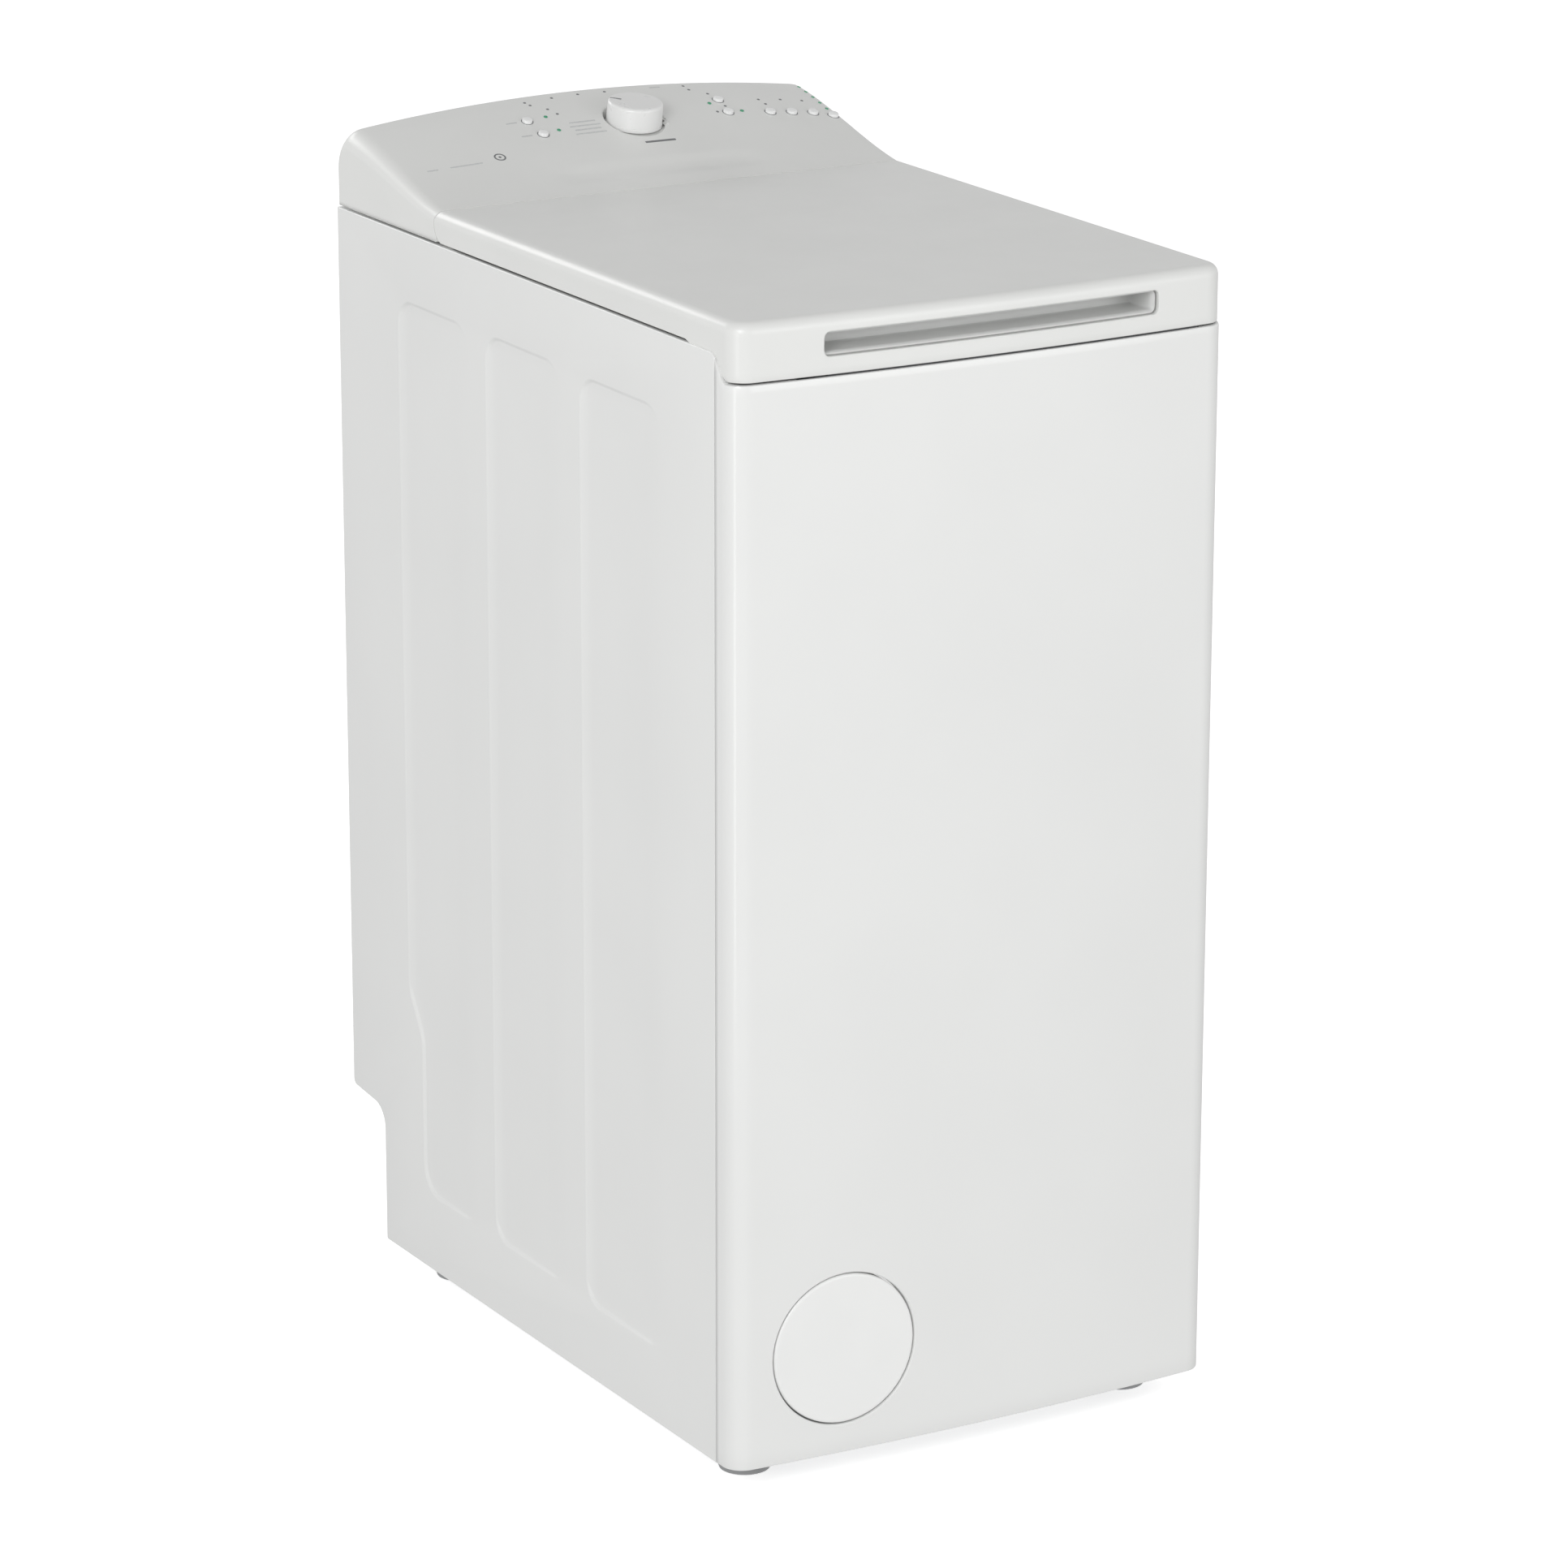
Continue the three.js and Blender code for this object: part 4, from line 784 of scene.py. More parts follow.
def swing_y(z, gap=0.0):
    """Where the lid's round end lies at a height, or a surface at a gap outside it."""
    return HINGE_Y + math.sqrt((LID_END_RADIUS + gap) ** 2 - (z - HINGE_Z) ** 2)


def lid_skin():
    """The lid: a skirt that steps down at the front, a soft top edge and the grip's slot."""
    shape = Shape()
    fine = (0, 1.2, 2.4, 3.8, 5.4)
    block_x = eased(SLOT_LOW[0] - 2.4, SLOT_HIGH[0] + 2.4, fine, 26)
    block_z = eased(SLOT_LOW[1] - 2.4, SLOT_HIGH[1] + 2.4, fine[:-1], 4)
    xs = spread(-FRONT_REACH, block_x[0], 5)[:-1] + block_x
    xs += spread(block_x[-1], FRONT_REACH, 5)[1:]
    wall_top = LID_TOP - LID_EDGE
    side_rim = SIDE_TOP + LID_GAP
    front_rim = FRONT_TOP + LID_GAP

    def rim_ring(share, inner=0.0):
        """A ring at a share of the way from the skirt's rim to the foot of the edge."""
        rear = swing_y(side_rim + share * (wall_top - side_rim))
        ring = []
        for x, y in plan_path(TOP_HALF_WIDTH, xs, rear, inner, LID_ACROSS):
            rim = step_height(y) + LID_GAP
            ring.append((x, y, rim + share * (wall_top - rim)))
        return ring

    rings = [rim_ring(0, 3.0), rim_ring(0, 0.7), rim_ring(0.012, 0.2)]
    first = len(rings)
    for z in [front_rim + 0.8, front_rim + 5] + block_z:
        rings.append(rim_ring((z - front_rim) / (wall_top - front_rim)))
    for inner, short in quarter_round(LID_EDGE, 9):
        z = LID_TOP - short
        outline = plan_path(TOP_HALF_WIDTH, xs, swing_y(z), inner, LID_ACROSS)
        rings.append([(x, y, z) for x, y in outline])
    outline = plan_path(TOP_HALF_WIDTH, xs, swing_y(LID_TOP) - 2, LID_EDGE + 2, LID_ACROSS)
    rings.append([(x, y, LID_TOP) for x, y in outline])
    path = [point[:2] for point in rings[first]]

    lip = [(1.0, 0.1), (0.3, 0.4), (0, 1.1), (0, 4.5)]
    columns = [i for i, (x, y) in enumerate(path) if y < FRONT_ZONE and x in block_x]
    lines = [first + 2 + i for i in range(len(block_z))]
    punched_loft(shape, rings, columns, lines, nearest_on_slot, on_front, lip, True)
    shape.face(range(len(rings[0]) * (len(rings) - 1), len(rings[0]) * len(rings)))

    def in_notch(face):
        """True for the stretch of the rear end that swings past a hinge tower."""
        middle = sum((Vector(shape.points[i]) for i in face), Vector()) / len(face)
        beside_tower = abs(abs(middle.x) - TOWER_X) < 7
        return beside_tower and middle.y > HINGE_Y - 7 and middle.z < LID_TOP - 3

    shape.faces = [face for face in shape.faces if not in_notch(face)]
    return shape


def handle_pocket():
    """The grip's pocket behind the slot: a rounded tunnel with a soft back."""
    shape = Shape()
    corners = box_corners(SLOT_LOW[0], SLOT_HIGH[0], SLOT_LOW[1], SLOT_HIGH[1], SLOT_RADIUS)
    profile = [(-0.05, 4.4), (0.2, 12), (0.6, SLOT_DEPTH - 6)]
    profile += [(0.9, SLOT_DEPTH - 3.5), (1.9, SLOT_DEPTH - 1.4), (4, SLOT_DEPTH - 0.4)]
    profile.append((6, SLOT_DEPTH))
    rings = []
    for back, depth in profile:
        outline = rounded(subdivided(inset(corners, back), (14, 1, 14, 1)), 6)
        rings.append([on_front(x, z, depth) for x, z in outline])
    shape.loft(rings, cap_last=True)
    return shape


def subdivided(corners, counts):
    """The same corners with extra points along each straight side."""
    out = []
    for i, (corner, steps) in enumerate(zip(corners, counts)):
        out.append(corner)
        ahead = corners[(i + 1) % len(corners)]
        for k in range(1, steps):
            t = k / steps
            a = corner[0] + (ahead[0] - corner[0]) * t
            b = corner[1] + (ahead[1] - corner[1]) * t
            out.append((a, b, 0))
    return out


# ---------- console


def console_skin():
    """The control console: a slope with a soft crest, rounded sides and a shallow recess."""
    shape = Shape()
    side_levels = [CONSOLE_BOTTOM, 831, 834.5, 838, LID_TOP - LID_EDGE]
    edge_angles = spread(90, 0, 8)[:-1]
    inner_shares = spread(-1, 1, 46)
    slope_start = 150

    def section(y_at, height, radius):
        """One slice across the console, whose points come from y_at(z) and height(x, y)."""
        flat = TOP_HALF_WIDTH - radius
        left = [-flat - radius * math.sin(math.radians(a)) for a in edge_angles]
        xs = left + [t * flat for t in inner_shares] + [-x for x in reversed(left)]
        wall = [(-TOP_HALF_WIDTH, y_at(z), z) for z in side_levels[:-1]]
        top = []
        for x in xs:
            y = y_at(panel_height(x, CONSOLE_FRONT))
            top.append((x, y, height(x, y)))
        return wall + top + [(-x, y, z) for x, y, z in reversed(wall)]

    def face_y(z):
        """The hollow front, with a chamfer along its top and a small notch at its foot."""
        chamfer = max(0.0, z - LID_TOP + 1.1)
        notch = 6.5 if z < side_levels[1] else 0
        return swing_y(z, SWING_GAP) + chamfer + notch

    def skin_height(x, y):
        return panel_height(x, y) - grip_recess(x, y)

    rows = []
    for share in (0, 0.12, 0.4, 0.7, 1):

        def front(z, share=share):
            return face_y(z) + share * (slope_start - face_y(z))

        rows.append(section(front, skin_height, LID_EDGE))
    for y in spread(slope_start, CREST_Y, 54)[1:]:
        t = (y - CONSOLE_FRONT) / (CREST_Y - CONSOLE_FRONT)
        rows.append(section(lambda z, y=y: y, skin_height, LID_EDGE + EDGE_GROWTH * t))
    rear_drop = 14
    for back, short in quarter_round(1, 9)[1:]:
        y = CONSOLE_REAR - (CONSOLE_REAR - CREST_Y) * short

        def crest(x, _, drop=rear_drop * back):
            return panel_height(x, CREST_Y) - drop

        rows.append(section(lambda z, y=y: y, crest, LID_EDGE + EDGE_GROWTH))
    knob = knob_seat()
    margin = KNOB_RECESS + 5
    sample, middle = rows[20], len(rows[0]) // 2
    on_top = [i for i, point in enumerate(sample) if point[2] > LID_TOP]
    columns = [i for i in on_top if abs(sample[i][0] - knob.x) < margin]
    lines = [i for i, row in enumerate(rows) if abs(row[middle][1] - knob.y) < margin]

    def skin(x, y, depth):
        return (x, y, skin_height(x, y) - depth)

    lip = [(0.9, 0.08), (0.3, 0.35), (0, 0.9)]
    hole = circle_edge(knob, KNOB_RECESS)
    last, edge = punched_loft(shape, rows, columns, lines, hole, skin, lip, flat=(0, 1))
    for share in (1, 0.97, 0.6):
        loop = []
        for place_at in edge:
            x, y = Vector(knob[:2]) + (place_at - Vector(knob[:2])) * share
            floor_z = knob.z + (y - knob.y) * math.tan(KNOB_TILT)
            loop.append((x, y, min(floor_z, skin_height(x, y) - 1.5)))
        new = shape.add(loop)
        shape.bridge(last, new)
        last = new
    shape.face(last)
    shape.face(reversed(range(len(rows[0]))))
    shape.face(range(len(rows[0]) * (len(rows) - 1), len(rows[0]) * len(rows)))
    return shape


TILT = Matrix.Rotation(PANEL_TILT, 3, "X")
UPRIGHT_TILT = Matrix.Rotation(KNOB_TILT, 3, "X")


def knob_seat():
    """The middle of the knob's seat, level with the panel in front of the knob."""
    x = node_middle("program_knob").x
    front = KNOB_Y - KNOB_RECESS * math.cos(KNOB_TILT)
    return Vector((x, KNOB_Y, panel_height(x, front) + KNOB_RECESS * math.sin(KNOB_TILT)))


def button_seat(name):
    """Where a button's axis meets the panel."""
    middle = node_middle(name)
    axis = TILT @ Vector((0, 0, 1))
    for _ in range(4):  # each step slides closer to the curved panel
        middle -= axis * ((middle.z - panel_height(middle.x, middle.y)) / axis.z)
    return Vector((middle.x, middle.y, panel_height(middle.x, middle.y)))


def knob_cap():
    """The programme knob: a drum with a soft top edge and a fine waist line."""
    radius = 21
    top = 19.3
    profile = [(radius - 1, 0.8), (radius + 0.3, 0.8), (radius + 0.4, 1.1), (radius + 0.35, 3.2)]
    profile += [(radius + 0.05, 3.4), (radius + 0.05, 3.8), (radius + 0.3, 4.0)]
    profile.append((radius, top - 2.6))
    profile += [(radius - back, top - short) for back, short in quarter_round(2.6, 6)[1:]]
    profile += [(radius - 4, top), (radius - 8, top - 0.25), (6, top - 0.35), (1, top - 0.35)]
    return Shape().turned(profile, knob_seat(), sides=72, tilt=UPRIGHT_TILT)


def knob_pointer():
    """A small raised line on the knob's top edge."""
    shape = Shape().block((-0.8, 11, 18.9), (0.8, 19.6, 19.35), 0.15)
    turn = Matrix.Rotation(math.radians(52), 3, "Z")
    middle = knob_seat()
    shape.points = [tuple(UPRIGHT_TILT @ (turn @ Vector(p)) + middle) for p in shape.points]
    return shape


def button_cap(name):
    profile = [(4, -4), (4, 1.5), (3.85, 1.95), (3.4, 2.3), (2.6, 2.45), (1.2, 2.5)]
    return Shape().turned(profile, button_seat(name), sides=28, tilt=TILT)


def flat_mark(shape, outline, raised=0.12):
    """A thin printed mark on the panel, from its outline seen from above."""
    top = [panel_point(x, y, raised) for x, y in outline]
    low = [panel_point(x, y, -0.05) for x, y in outline]
    shape.loft([low, top], cap_last=True)


def ring_mark(shape, x, y, outer, inner, raised=0.1, sides=36):
    """A thin printed ring on the panel."""
    rings = []
    for radius, above in ((outer, -0.05), (outer, raised), (inner, raised), (inner, -0.05)):
        ring = [(x + radius * a, y + radius * b) for a, b in spokes(sides)]
        rings.append([panel_point(px, py, above) for px, py in ring])
    shape.loft(rings)


def dot(shape, x, y, radius, raised=0.12):
    flat_mark(shape, arc(x, y, radius, 0, 342, 19), raised)


def bar(shape, x, y, length, width, raised=0.12):
    corners = box_corners(x - length / 2, x + length / 2, y - width / 2, y + width / 2, width * 0.3)
    flat_mark(shape, rounded(corners, 2), raised)


# ---------- feet and rear


def foot_piece(name):
    """A levelling foot: a ribbed rubber pad, a hexagon and a threaded stem."""
    low, high = node_box(name)
    x, y, _ = node_middle(name)
    radius = (high.x - low.x) / 2
    profile = [(radius - 2.2, 0), (radius - 0.6, 0.5), (radius, 2), (radius, 5)]
    for z in (6.5, 9.5, 12.5):
        profile += [(radius - 0.2, z - 1), (radius - 1.5, z - 0.4), (radius - 1.5, z + 0.6)]
        profile.append((radius - 0.3, z + 1.2))
    profile += [(radius - 1.2, 15), (radius - 3.5, 16.2), (8, 16.6)]
    pad = Shape().turned(profile, (x, y, 0), sides=40)
    piece(name + "_pad", pad, FOOT_PLASTIC, name, [name])
    thread = [(7.2, 15.5)]
    for z in spread(17, high.z - 1, 16):
        thread += [(4.2, z - 0.5), (4.9, z + 0.45)]
    stem = Shape().turned(thread, (x, y, 0), sides=20)
    nut = [(7.4, 17.2), (8.3, 17.8), (8.3, 20.0), (7.4, 20.6)]
    stem.turned(nut, (x, y, 0), sides=6)
    piece(name + "_stem", stem, SCREW_STEEL, name)


def rear_skin():
    """The rear sheet: rolled edges, two pressed fields and holes for the unions."""
    shape = Shape()
    rear = REAR_HIGH.y

    def at(x, z, depth):
        return (x, rear - depth, z)

    half = REAR_HIGH.x
    outline = box_corners(-half, half, REAR_LOW.z, REAR_HIGH.z, 6)
    flat = rolled_sheet(shape, outline, 1.2, 3, at)
    fields = [box_corners(-150, 150, 470, 700, 26), box_corners(-96, 96, 265, 440, 26)]
    holes = [pressed_field(shape, field, 3, 6, at) for field in fields]
    unions = [("inlet_valve", 776, 14.5), ("drain_outlet", 220, 13.5), ("cable_gland", 220, 9.5)]
    for node, z, radius in unions:
        x = node_middle(node).x
        rings = []
        for grow, depth in ((4, 0), (1, 0.2), (0.2, 0.8), (0, 2.4)):
            rings.append([at(a, b, depth) for a, b in arc(x, z, radius + grow, 0, 350, 35)])
        holes.append(shape.loft(rings)[0])
    shape.fill(flat, holes)
    return shape


def screw_heads():
    """The rear sheet's pan head screws, each with its socket."""
    shape = Shape()
    profile = [(4, 0), (4, 0.6), (3.6, 1.5), (2.4, 2.1), (1.6, 2.3), (1.2, 1.2)]
    for x in (-188, 188):
        for z in (160, 330, 500, 670, 800):
            shape.turned(profile, (x, REAR_HIGH.y, z), "y", sides=20)
    return shape


def louvres():
    """Two rows of pressed cooling louvres on the rear sheet."""
    shape = Shape()
    half_length, rise = 26, 3.2
    lip = [(0, -4), (0.5, -2.6), (1, 2.2), (0.9, 3), (0, 2.6)]
    for column in (-60, 60):
        for z in range(300, 412, 14):
            rings = []
            for x in spread(column - half_length, column + half_length, 10):
                t = 1 - ((x - column) / half_length) ** 2
                out = rise * math.sqrt(max(t, 0.0)) + 0.05
                rings.append([(x, REAR_HIGH.y - rise + out * a, z + b) for a, b in lip])
            shape.solid(rings)
    return shape


# ---------- making the pieces

sides = {"left": side_skin()}
sides["right"] = sides["left"].mirrored()
for side, shape in sides.items():
    replaced = ["side_panel_" + side]
    piece("side_skin_" + side, shape, WHITE_ENAMEL, "cabinet", replaced, SHEET)
piece("front_skin", front_skin(), WHITE_ENAMEL, "cabinet", ["front_panel"], SHEET)
piece("rear_skin", rear_skin(), ZINC, "cabinet", ["rear_panel"], 1.0)
piece("rear_louvres", louvres(), ZINC, "cabinet")
piece("rear_screws", screw_heads(), SCREW_STEEL, "cabinet")
piece("filter_disc", filter_disc(), COVER_PLASTIC, "filter_door", ["filter_cover"])

piece("lid_skin", lid_skin(), WHITE_PLASTIC, "lid", ["lid_shell"], WALL)
piece("handle_pocket", handle_pocket(), POCKET_PLASTIC, "lid", thick=1.6)
console = console_skin()
replaced = ["console_housing"]
piece("console_skin", console, WHITE_PLASTIC, "cabinet", replaced, WALL)

piece("knob_cap", knob_cap(), KNOB_PLASTIC, "knob", ["program_knob"])
piece("knob_pointer", knob_pointer(), GREY_INK, "knob")
button_names = [f"button_{i}" for i in range(1, 9)]
for button_name in button_names:
    cap = button_cap(button_name)
    piece(button_name + "_cap", cap, BUTTON_PLASTIC, button_name, [button_name])

for corner in CORNERS:
    foot_piece("foot_" + corner)

# painted shadow: a dark ring round each button stands for the shade in its gap
gap_shadows = Shape()
for button_name in button_names:
    at_seat = button_seat(button_name)
    ring_mark(gap_shadows, at_seat.x, at_seat.y, 4.7, 4.0, 0.05, 28)
piece("button_gap_shadows", gap_shadows, GREY_INK, "cabinet")

dark_marks = Shape()
dots = [(-54, 275), (-52, 270), (-30, 277), (-7, 278), (16, 278), (-38, 253), (-42, 261)]
dots += [(85, 279), (86, 272), (98, 264), (102, 244), (91, 236.5), (136, 252.5)]
dots += [(138, 245), (155, 252), (173, 250)]
for x, y in dots:
    dot(dark_marks, x, y, 1.15)
ring_mark(dark_marks, -110, 209, 4.6, 3.4, 0.1)
dot(dark_marks, -110, 209, 1.1)
bar(dark_marks, 24, 205, 26, 2.2)
piece("dark_marks", dark_marks, GREY_INK, "cabinet")

pale_marks = Shape()
for x, y in [(-79, 249), (-76, 230), (60, 279)]:
    bar(pale_marks, x, y, 9, 1.5)
for line in range(4):
    bar(pale_marks, -24.5, 224 + line * 5, 26 - 4 * (line % 2), 1.5)
for x, length in ((-168, 9), (-140, 27)):
    bar(pale_marks, x, 205, length, 1.5)
piece("pale_marks", pale_marks, PALE_INK, "cabinet")

lamps = Shape()
for x, y in [(-49, 251), (-48, 232), (91, 249), (112, 236)]:
    dot(lamps, x, y, 1.5, 0.4)
for y in spread(236, 278, 4):
    dot(lamps, 187, y, 1.3, 0.4)
piece("lamp_lenses", lamps, GREEN_LENS, "cabinet")


def seam_shadow_strip():
    """A dark strip along the front panel's top edge, under the lid's skirt: painted shadow that
    darkens the gap line, shaped like a foam buffer that the skirt closes on.
    """
    rings = []
    for x in spread(-150, 176, 40):
        y = front_y(x)
        top = FRONT_TOP + 1.15 * smooth_step((x + 150) / 40) + 0.1
        strip = [(y + 1.6, FRONT_TOP), (y + 1.8, top), (y + 8, top), (y + 8.2, FRONT_TOP)]
        rings.append([(x, b, z) for b, z in strip])
    return Shape().solid(rings)


# painted shadow: a dark strip that darkens the gap under the lid's front
piece("seam_shadow_strip", seam_shadow_strip(), BLACK_RUBBER, "cabinet")

# ---------- the drum's surroundings, which the open lid shows

DRUM_LOW, DRUM_HIGH = node_box("drum_shell")
DRUM = node_middle("drum_shell")
DRUM_RADIUS = (DRUM_HIGH.y - DRUM_LOW.y) / 2
DOOR_HALF = 92
DOOR_ANGLE = math.radians(27)
FLAP_EDGES = (0.008, DOOR_ANGLE - 0.022)
CELL = 11.5
DRUM_HOLE = 2.3
DRUM_SHEET = 0.8
HOOK_LOW = 22
HOOK_HIGH = 34


def hinge_pins():
    """The lid's two hinge pins, each on its bracket."""
    shape = Shape()
    bracket_x, reach = 170, 6
    for side in (-1, 1):
        x = side * bracket_x
        low = (x - 3, HINGE_Y - reach, HINGE_Z - reach)
        shape.block(low, (x + 3, HINGE_Y + reach, LID_TOP - 2.5), 0.6)
        shape.tube([(x + side * 3, HINGE_Y, HINGE_Z), (x + side * 14, HINGE_Y, HINGE_Z)], 2.5, 20)
    return shape


def perforated(shape, angles, xs):
    """A stretch of the drum's wall, with a hole in every other cell."""

    def at(angle, x):
        return (x, DRUM.y + DRUM_RADIUS * math.sin(angle), DRUM.z + DRUM_RADIUS * math.cos(angle))

    for i, (a0, a1) in enumerate(zip(angles, angles[1:])):
        for j, (x0, x1) in enumerate(zip(xs, xs[1:])):
            middle, x_middle = (a0 + a1) / 2, (x0 + x1) / 2
            around = [(a0, x0), (middle, x0), (a1, x0), (a1, x_middle)]
            around += [(a1, x1), (middle, x1), (a0, x1), (a0, x_middle)]
            rim = shape.add([at(a, x) for a, x in around])
            if (i + j) % 2:
                shape.face(rim)
                continue
            hole = []
            for a, x in around:
                way = Vector(((a - middle) * DRUM_RADIUS, x - x_middle)).normalized() * DRUM_HOLE
                hole.append(at(middle + way.x / DRUM_RADIUS, x_middle + way.y))
            shape.bridge(rim, shape.add(hole))


def drum_wall():
    shape = Shape()
    end = DRUM_HIGH.x
    strip = round((end - DOOR_HALF) / CELL)
    low_strip = spread(-end, -DOOR_HALF, strip)
    high_strip = spread(DOOR_HALF, end, strip)
    door = spread(-DOOR_HALF, DOOR_HALF, round(2 * DOOR_HALF / CELL))
    rest = 2 * math.pi - 2 * DOOR_ANGLE
    around = spread(DOOR_ANGLE, DOOR_ANGLE + rest, round(rest * DRUM_RADIUS / CELL))
    perforated(shape, around, low_strip[:-1] + door + high_strip[1:])
    beside = spread(-DOOR_ANGLE, DOOR_ANGLE, round(2 * DOOR_ANGLE * DRUM_RADIUS / CELL))
    perforated(shape, beside, low_strip)
    perforated(shape, beside, high_strip)
    return shape


def drum_flap(side):
    shape = Shape()
    angles = [side * a for a in spread(*FLAP_EDGES, 9)]
    perforated(shape, angles, spread(1 - DOOR_HALF, DOOR_HALF - 1, 16))
    return shape


def bellows():
    """The folded rubber between the tub's neck and the deck's collar."""
    low, high = node_box("load_gasket")
    middle = (low + high) / 2
    folds, swing, wall, steps = 3, 2, 2.2, 30
    half_x, half_y = high.x - middle.x - 2 * swing, high.y - middle.y - 2 * swing

    def ring(grow, z):
        x, y = half_x + grow, half_y + grow
        outline = rounded(box_corners(-x, x, -y, y, 29 + grow), 8)
        return [(middle.x + a, middle.y + b, z) for a, b in outline]

    outside = []
    inside = []
    for t in spread(0, 1, steps):
        grow = swing * (1 - math.cos(2 * math.pi * folds * t))
        z = low.z + (high.z - low.z) * t
        outside.append(ring(grow, z))
        inside.append(ring(grow - wall, z))
    shape = Shape()
    shape.loft(outside + inside[::-1] + outside[:1])
    return shape


def smooth_path(points, steps):
    """A Catmull-Rom curve through points, with a number of steps between each two."""
    line = [Vector(p) for p in points]
    line = [2 * line[0] - line[1], *line, 2 * line[-1] - line[-2]]
    path = []
    for before, a, b, after in zip(line, line[1:], line[2:], line[3:]):
        for t in spread(0, 1, steps)[:-1]:
            bend = (2 * before - 5 * a + 4 * b - after) * t * t
            twist = (3 * a - before - 3 * b + after) * t**3
            path.append((2 * a + (b - before) * t + bend + twist) / 2)
    return path + [line[-2]]


def ribbed_hose():
    """The rubber hose from the tub's outlet down to the drain pump."""
    low, high = node_box("sump_hose")
    pump_x, spigot_x, front, back = -111, -104, -215, -130
    route = [(pump_x, front, low.z), (pump_x, front, 170), (pump_x + 1, -205, 186)]
    route += [(pump_x + 3, -175, 200), (spigot_x, back - 10, 212), (spigot_x, back, 228)]
    route += [(spigot_x, back, high.z)]
    path = smooth_path(route, 16)
    radius, steps_per_rib = 14.6, 6
    radii = []
    for i in range(len(path)):
        share = i / (len(path) - 1)
        ribs = smooth_step(share * 6 - 0.5) * smooth_step((1 - share) * 6 - 0.5)
        radii.append(radius - ribs * (1 - math.cos(2 * math.pi * i / steps_per_rib)))
    return Shape().tube(path, radii, 24)


def spring_coil(name):
    """A hung spring: a straight hook, its coils and a straight hook."""
    low, high = node_box(name)
    middle = (low + high) / 2
    wire, turns, steps = 1.6, 34, 12
    radius = (high.x - low.x) / 2 - wire
    bottom, top = low.z + HOOK_LOW, high.z - HOOK_HIGH
    path = [(middle.x, middle.y, z) for z in spread(low.z, bottom - 3, 3)]
    for i in range(turns * steps + 1):
        t = i / (turns * steps)
        reach = radius * min(1, 2 * turns * t, 2 * turns * (1 - t))
        angle = 2 * math.pi * i / steps
        z = bottom + (top - bottom) * t
        path.append((middle.x + reach * math.cos(angle), middle.y + reach * math.sin(angle), z))
    path += [(middle.x, middle.y, z) for z in spread(top + 3, high.z, 3)]
    return Shape().tube(path, wire, 8)


piece("lid_hinge_pins", hinge_pins(), WHITE_PLASTIC, "lid")
piece("drum_wall", drum_wall(), DRUM_STEEL, "drum", ["drum_shell"], DRUM_SHEET)
for side, flap in ((-1, "front"), (1, "rear")):
    shape, replaced, body = drum_flap(side), ["drum_flap_" + flap], "flap_" + flap
    piece("drum_door_" + flap, shape, DRUM_STEEL, body, replaced, DRUM_SHEET)

low, high = node_box("load_gasket")
stretched("bellows", bellows(), GREY_RUBBER, "load_gasket")
hose = ribbed_hose()
stretched("ribbed_hose", hose, BLACK_RUBBER, "sump_hose")
for corner in CORNERS:
    spring = "spring_" + corner
    low, high = node_box(spring)
    stretched("coil_" + corner, spring_coil(spring), SPRING_STEEL, spring)

# ---------- materials on the CAD nodes

PADDLES = ["drum_paddle_front", "drum_paddle_rear"]
DAMPERS = ["damper_cylinder_front", "damper_cylinder_rear"]
NODE_MATERIALS = {
    ZINC: ["base_frame", "top_frame", "damper_rod_front", "damper_rod_rear"],
    INNER_PLASTIC: ["worktop_frame", "lid_liner"],
    TRAY_PLASTIC: ["dispenser_tray"],
    GREY_PLASTIC: PADDLES + ["pump_body", "inlet_valve", "drain_outlet"],
    DARK_PLASTIC: DAMPERS + ["cable_gland", "lid_lock", "filter_cap"],
    BEARING_STEEL: ["bearing_left", "bearing_right"],
    PULLEY_ALLOY: ["drum_pulley"],
    DRUM_STEEL: ["drum_end_left", "drum_end_right", "motor_pulley"],
    HEATER_STEEL: ["heater"],
    BLACK_RUBBER: ["drive_belt"],
    TUB_PLASTIC: ["tub_half_left", "tub_half_right"],
    CONCRETE: ["counterweight_front", "counterweight_rear"],
    BOARD: ["control_board"],
    MOTOR_PAINT: ["motor_body"],
}
for material, names in NODE_MATERIALS.items():
    for name in names:
        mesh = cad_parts[name].data
        mesh.materials.clear()
        mesh.materials.append(material)

# ---------- camera, light and floor

camera_data = bpy.data.cameras.new("camera")
camera = new_object("camera", camera_data)
camera.location = (-2.2498, -3.8686, 1.7685)
camera.rotation_euler = Euler((math.pi / 2 - 0.2919, -0.0016, -0.5286))
camera_data.lens = 144.72
camera_data.sensor_width = 36
camera_data.clip_end = 100
bpy.context.scene.camera = camera


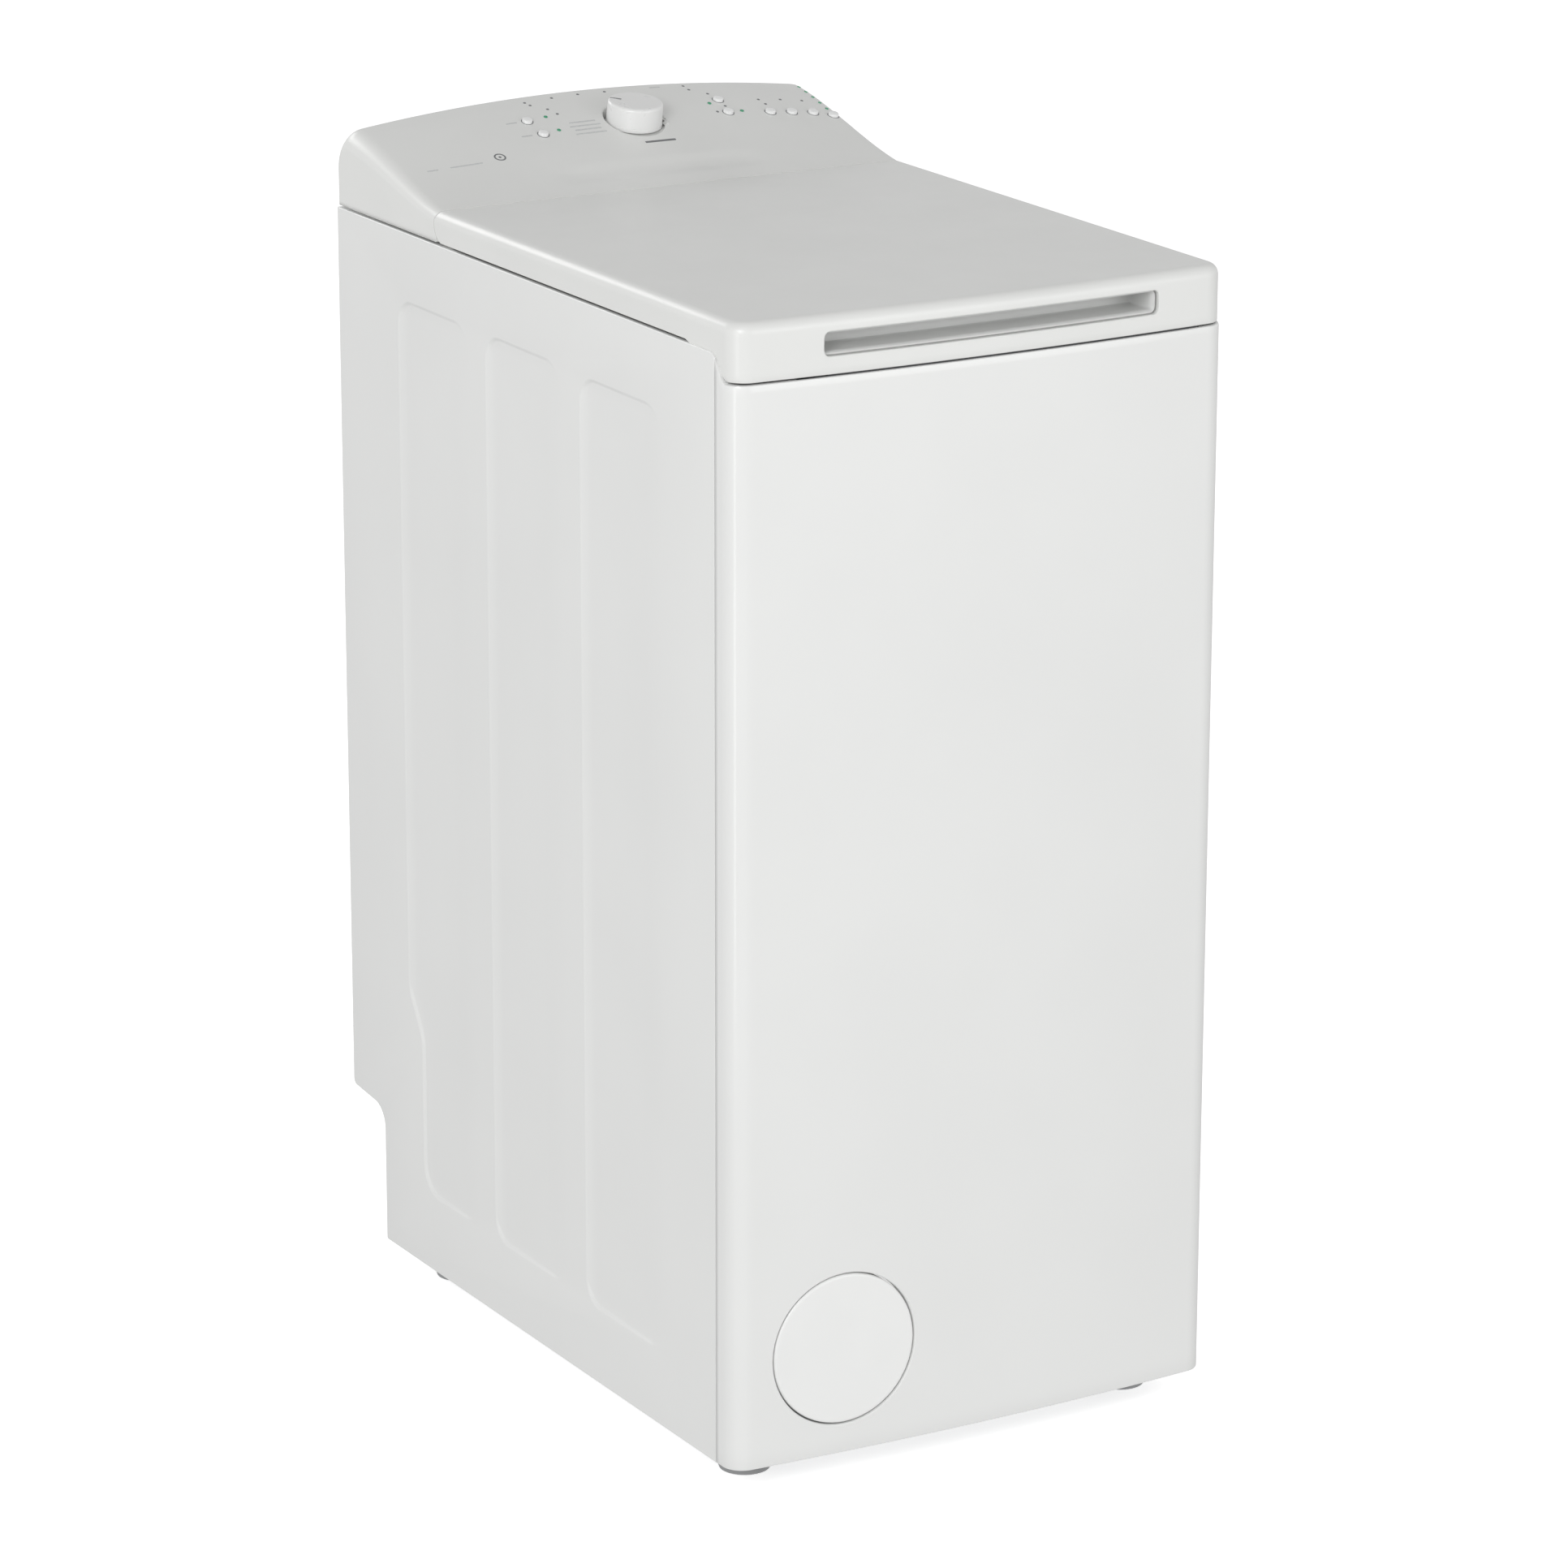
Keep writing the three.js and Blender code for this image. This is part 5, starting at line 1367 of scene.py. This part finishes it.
def soft_light(name, location, target, size, power):
    data = bpy.data.lights.new(name, "AREA")
    data.shape = "RECTANGLE"
    data.size, data.size_y = size
    data.energy = power
    light = new_object(name, data)
    light.location = location
    aim = Vector(target) - Vector(location)
    light.rotation_euler = aim.to_track_quat("-Z", "Y").to_euler()


soft_light("key_light", (-3.3, -3.2, 2.5), (0, 0, 0.5), (1.5, 1.5), 80)
soft_light("front_light", (1.6, -3.6, 1.2), (0, 0, 0.45), (2.0, 2.0), 26)
soft_light("left_light", (-3.2, -1.85, 0.3), (-0.2, -0.3, 0.45), (0.5, 2.2), 14)
soft_light("rear_light", (-0.9, 2.9, 2.1), (0, 0, 0.8), (1.6, 0.8), 16)


def sky():
    """An even white room that is a little darker overhead."""
    world = bpy.data.worlds.new("room")
    bpy.context.scene.world = world
    nodes = Tree(world)
    up = nodes.made("SeparateXYZ", {"Vector": nodes.made("TexCoord", {}, "Generated")}, "Z")
    height = nodes.made("MapRange", {"From Min": -1, "Value": up}, "Result")
    ramp = nodes.tree.nodes.new("ShaderNodeValToRGB")
    stops = [(0.0, 0.6), (0.44, 0.68), (0.5, 1.0), (0.56, 0.76), (0.95, 0.43)]
    elements = ramp.color_ramp.elements
    while len(elements) < len(stops):
        elements.new(0.5)
    for element, (place_at, level) in zip(elements, stops):
        element.position = place_at
        element.color = (level, level, level, 1)
    nodes.put(ramp, {"Fac": height})
    nodes.put(nodes.tree.nodes["Background"], {"Color": ramp.outputs["Color"]})


sky()


def floor():
    """A plain pale floor that is bright enough to read as white."""
    mesh = bpy.data.meshes.new("floor")
    reach = 40  # metres
    corners = [(-reach, -reach, 0), (reach, -reach, 0), (reach, reach, 0), (-reach, reach, 0)]
    mesh.from_pydata(corners, [], [(0, 1, 2, 3)])
    n = Nodes("floor_white")
    n.set(Base_Color=(0.9, 0.9, 0.9, 1), Roughness=0.9)
    n.set(Emission_Color=(1, 1, 1, 1), Emission_Strength=0.62)
    mesh.materials.append(n.material)
    made = new_object("floor", mesh)
    made.visible_diffuse = False
    made.visible_glossy = False
    made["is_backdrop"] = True


floor()
bpy.context.scene.view_settings.view_transform = "Standard"

# ---------- the end

boxes = {"cad": CAD_BOX, "visual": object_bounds()}
{key: [list(low), list(high)] for key, (low, high) in boxes.items()}
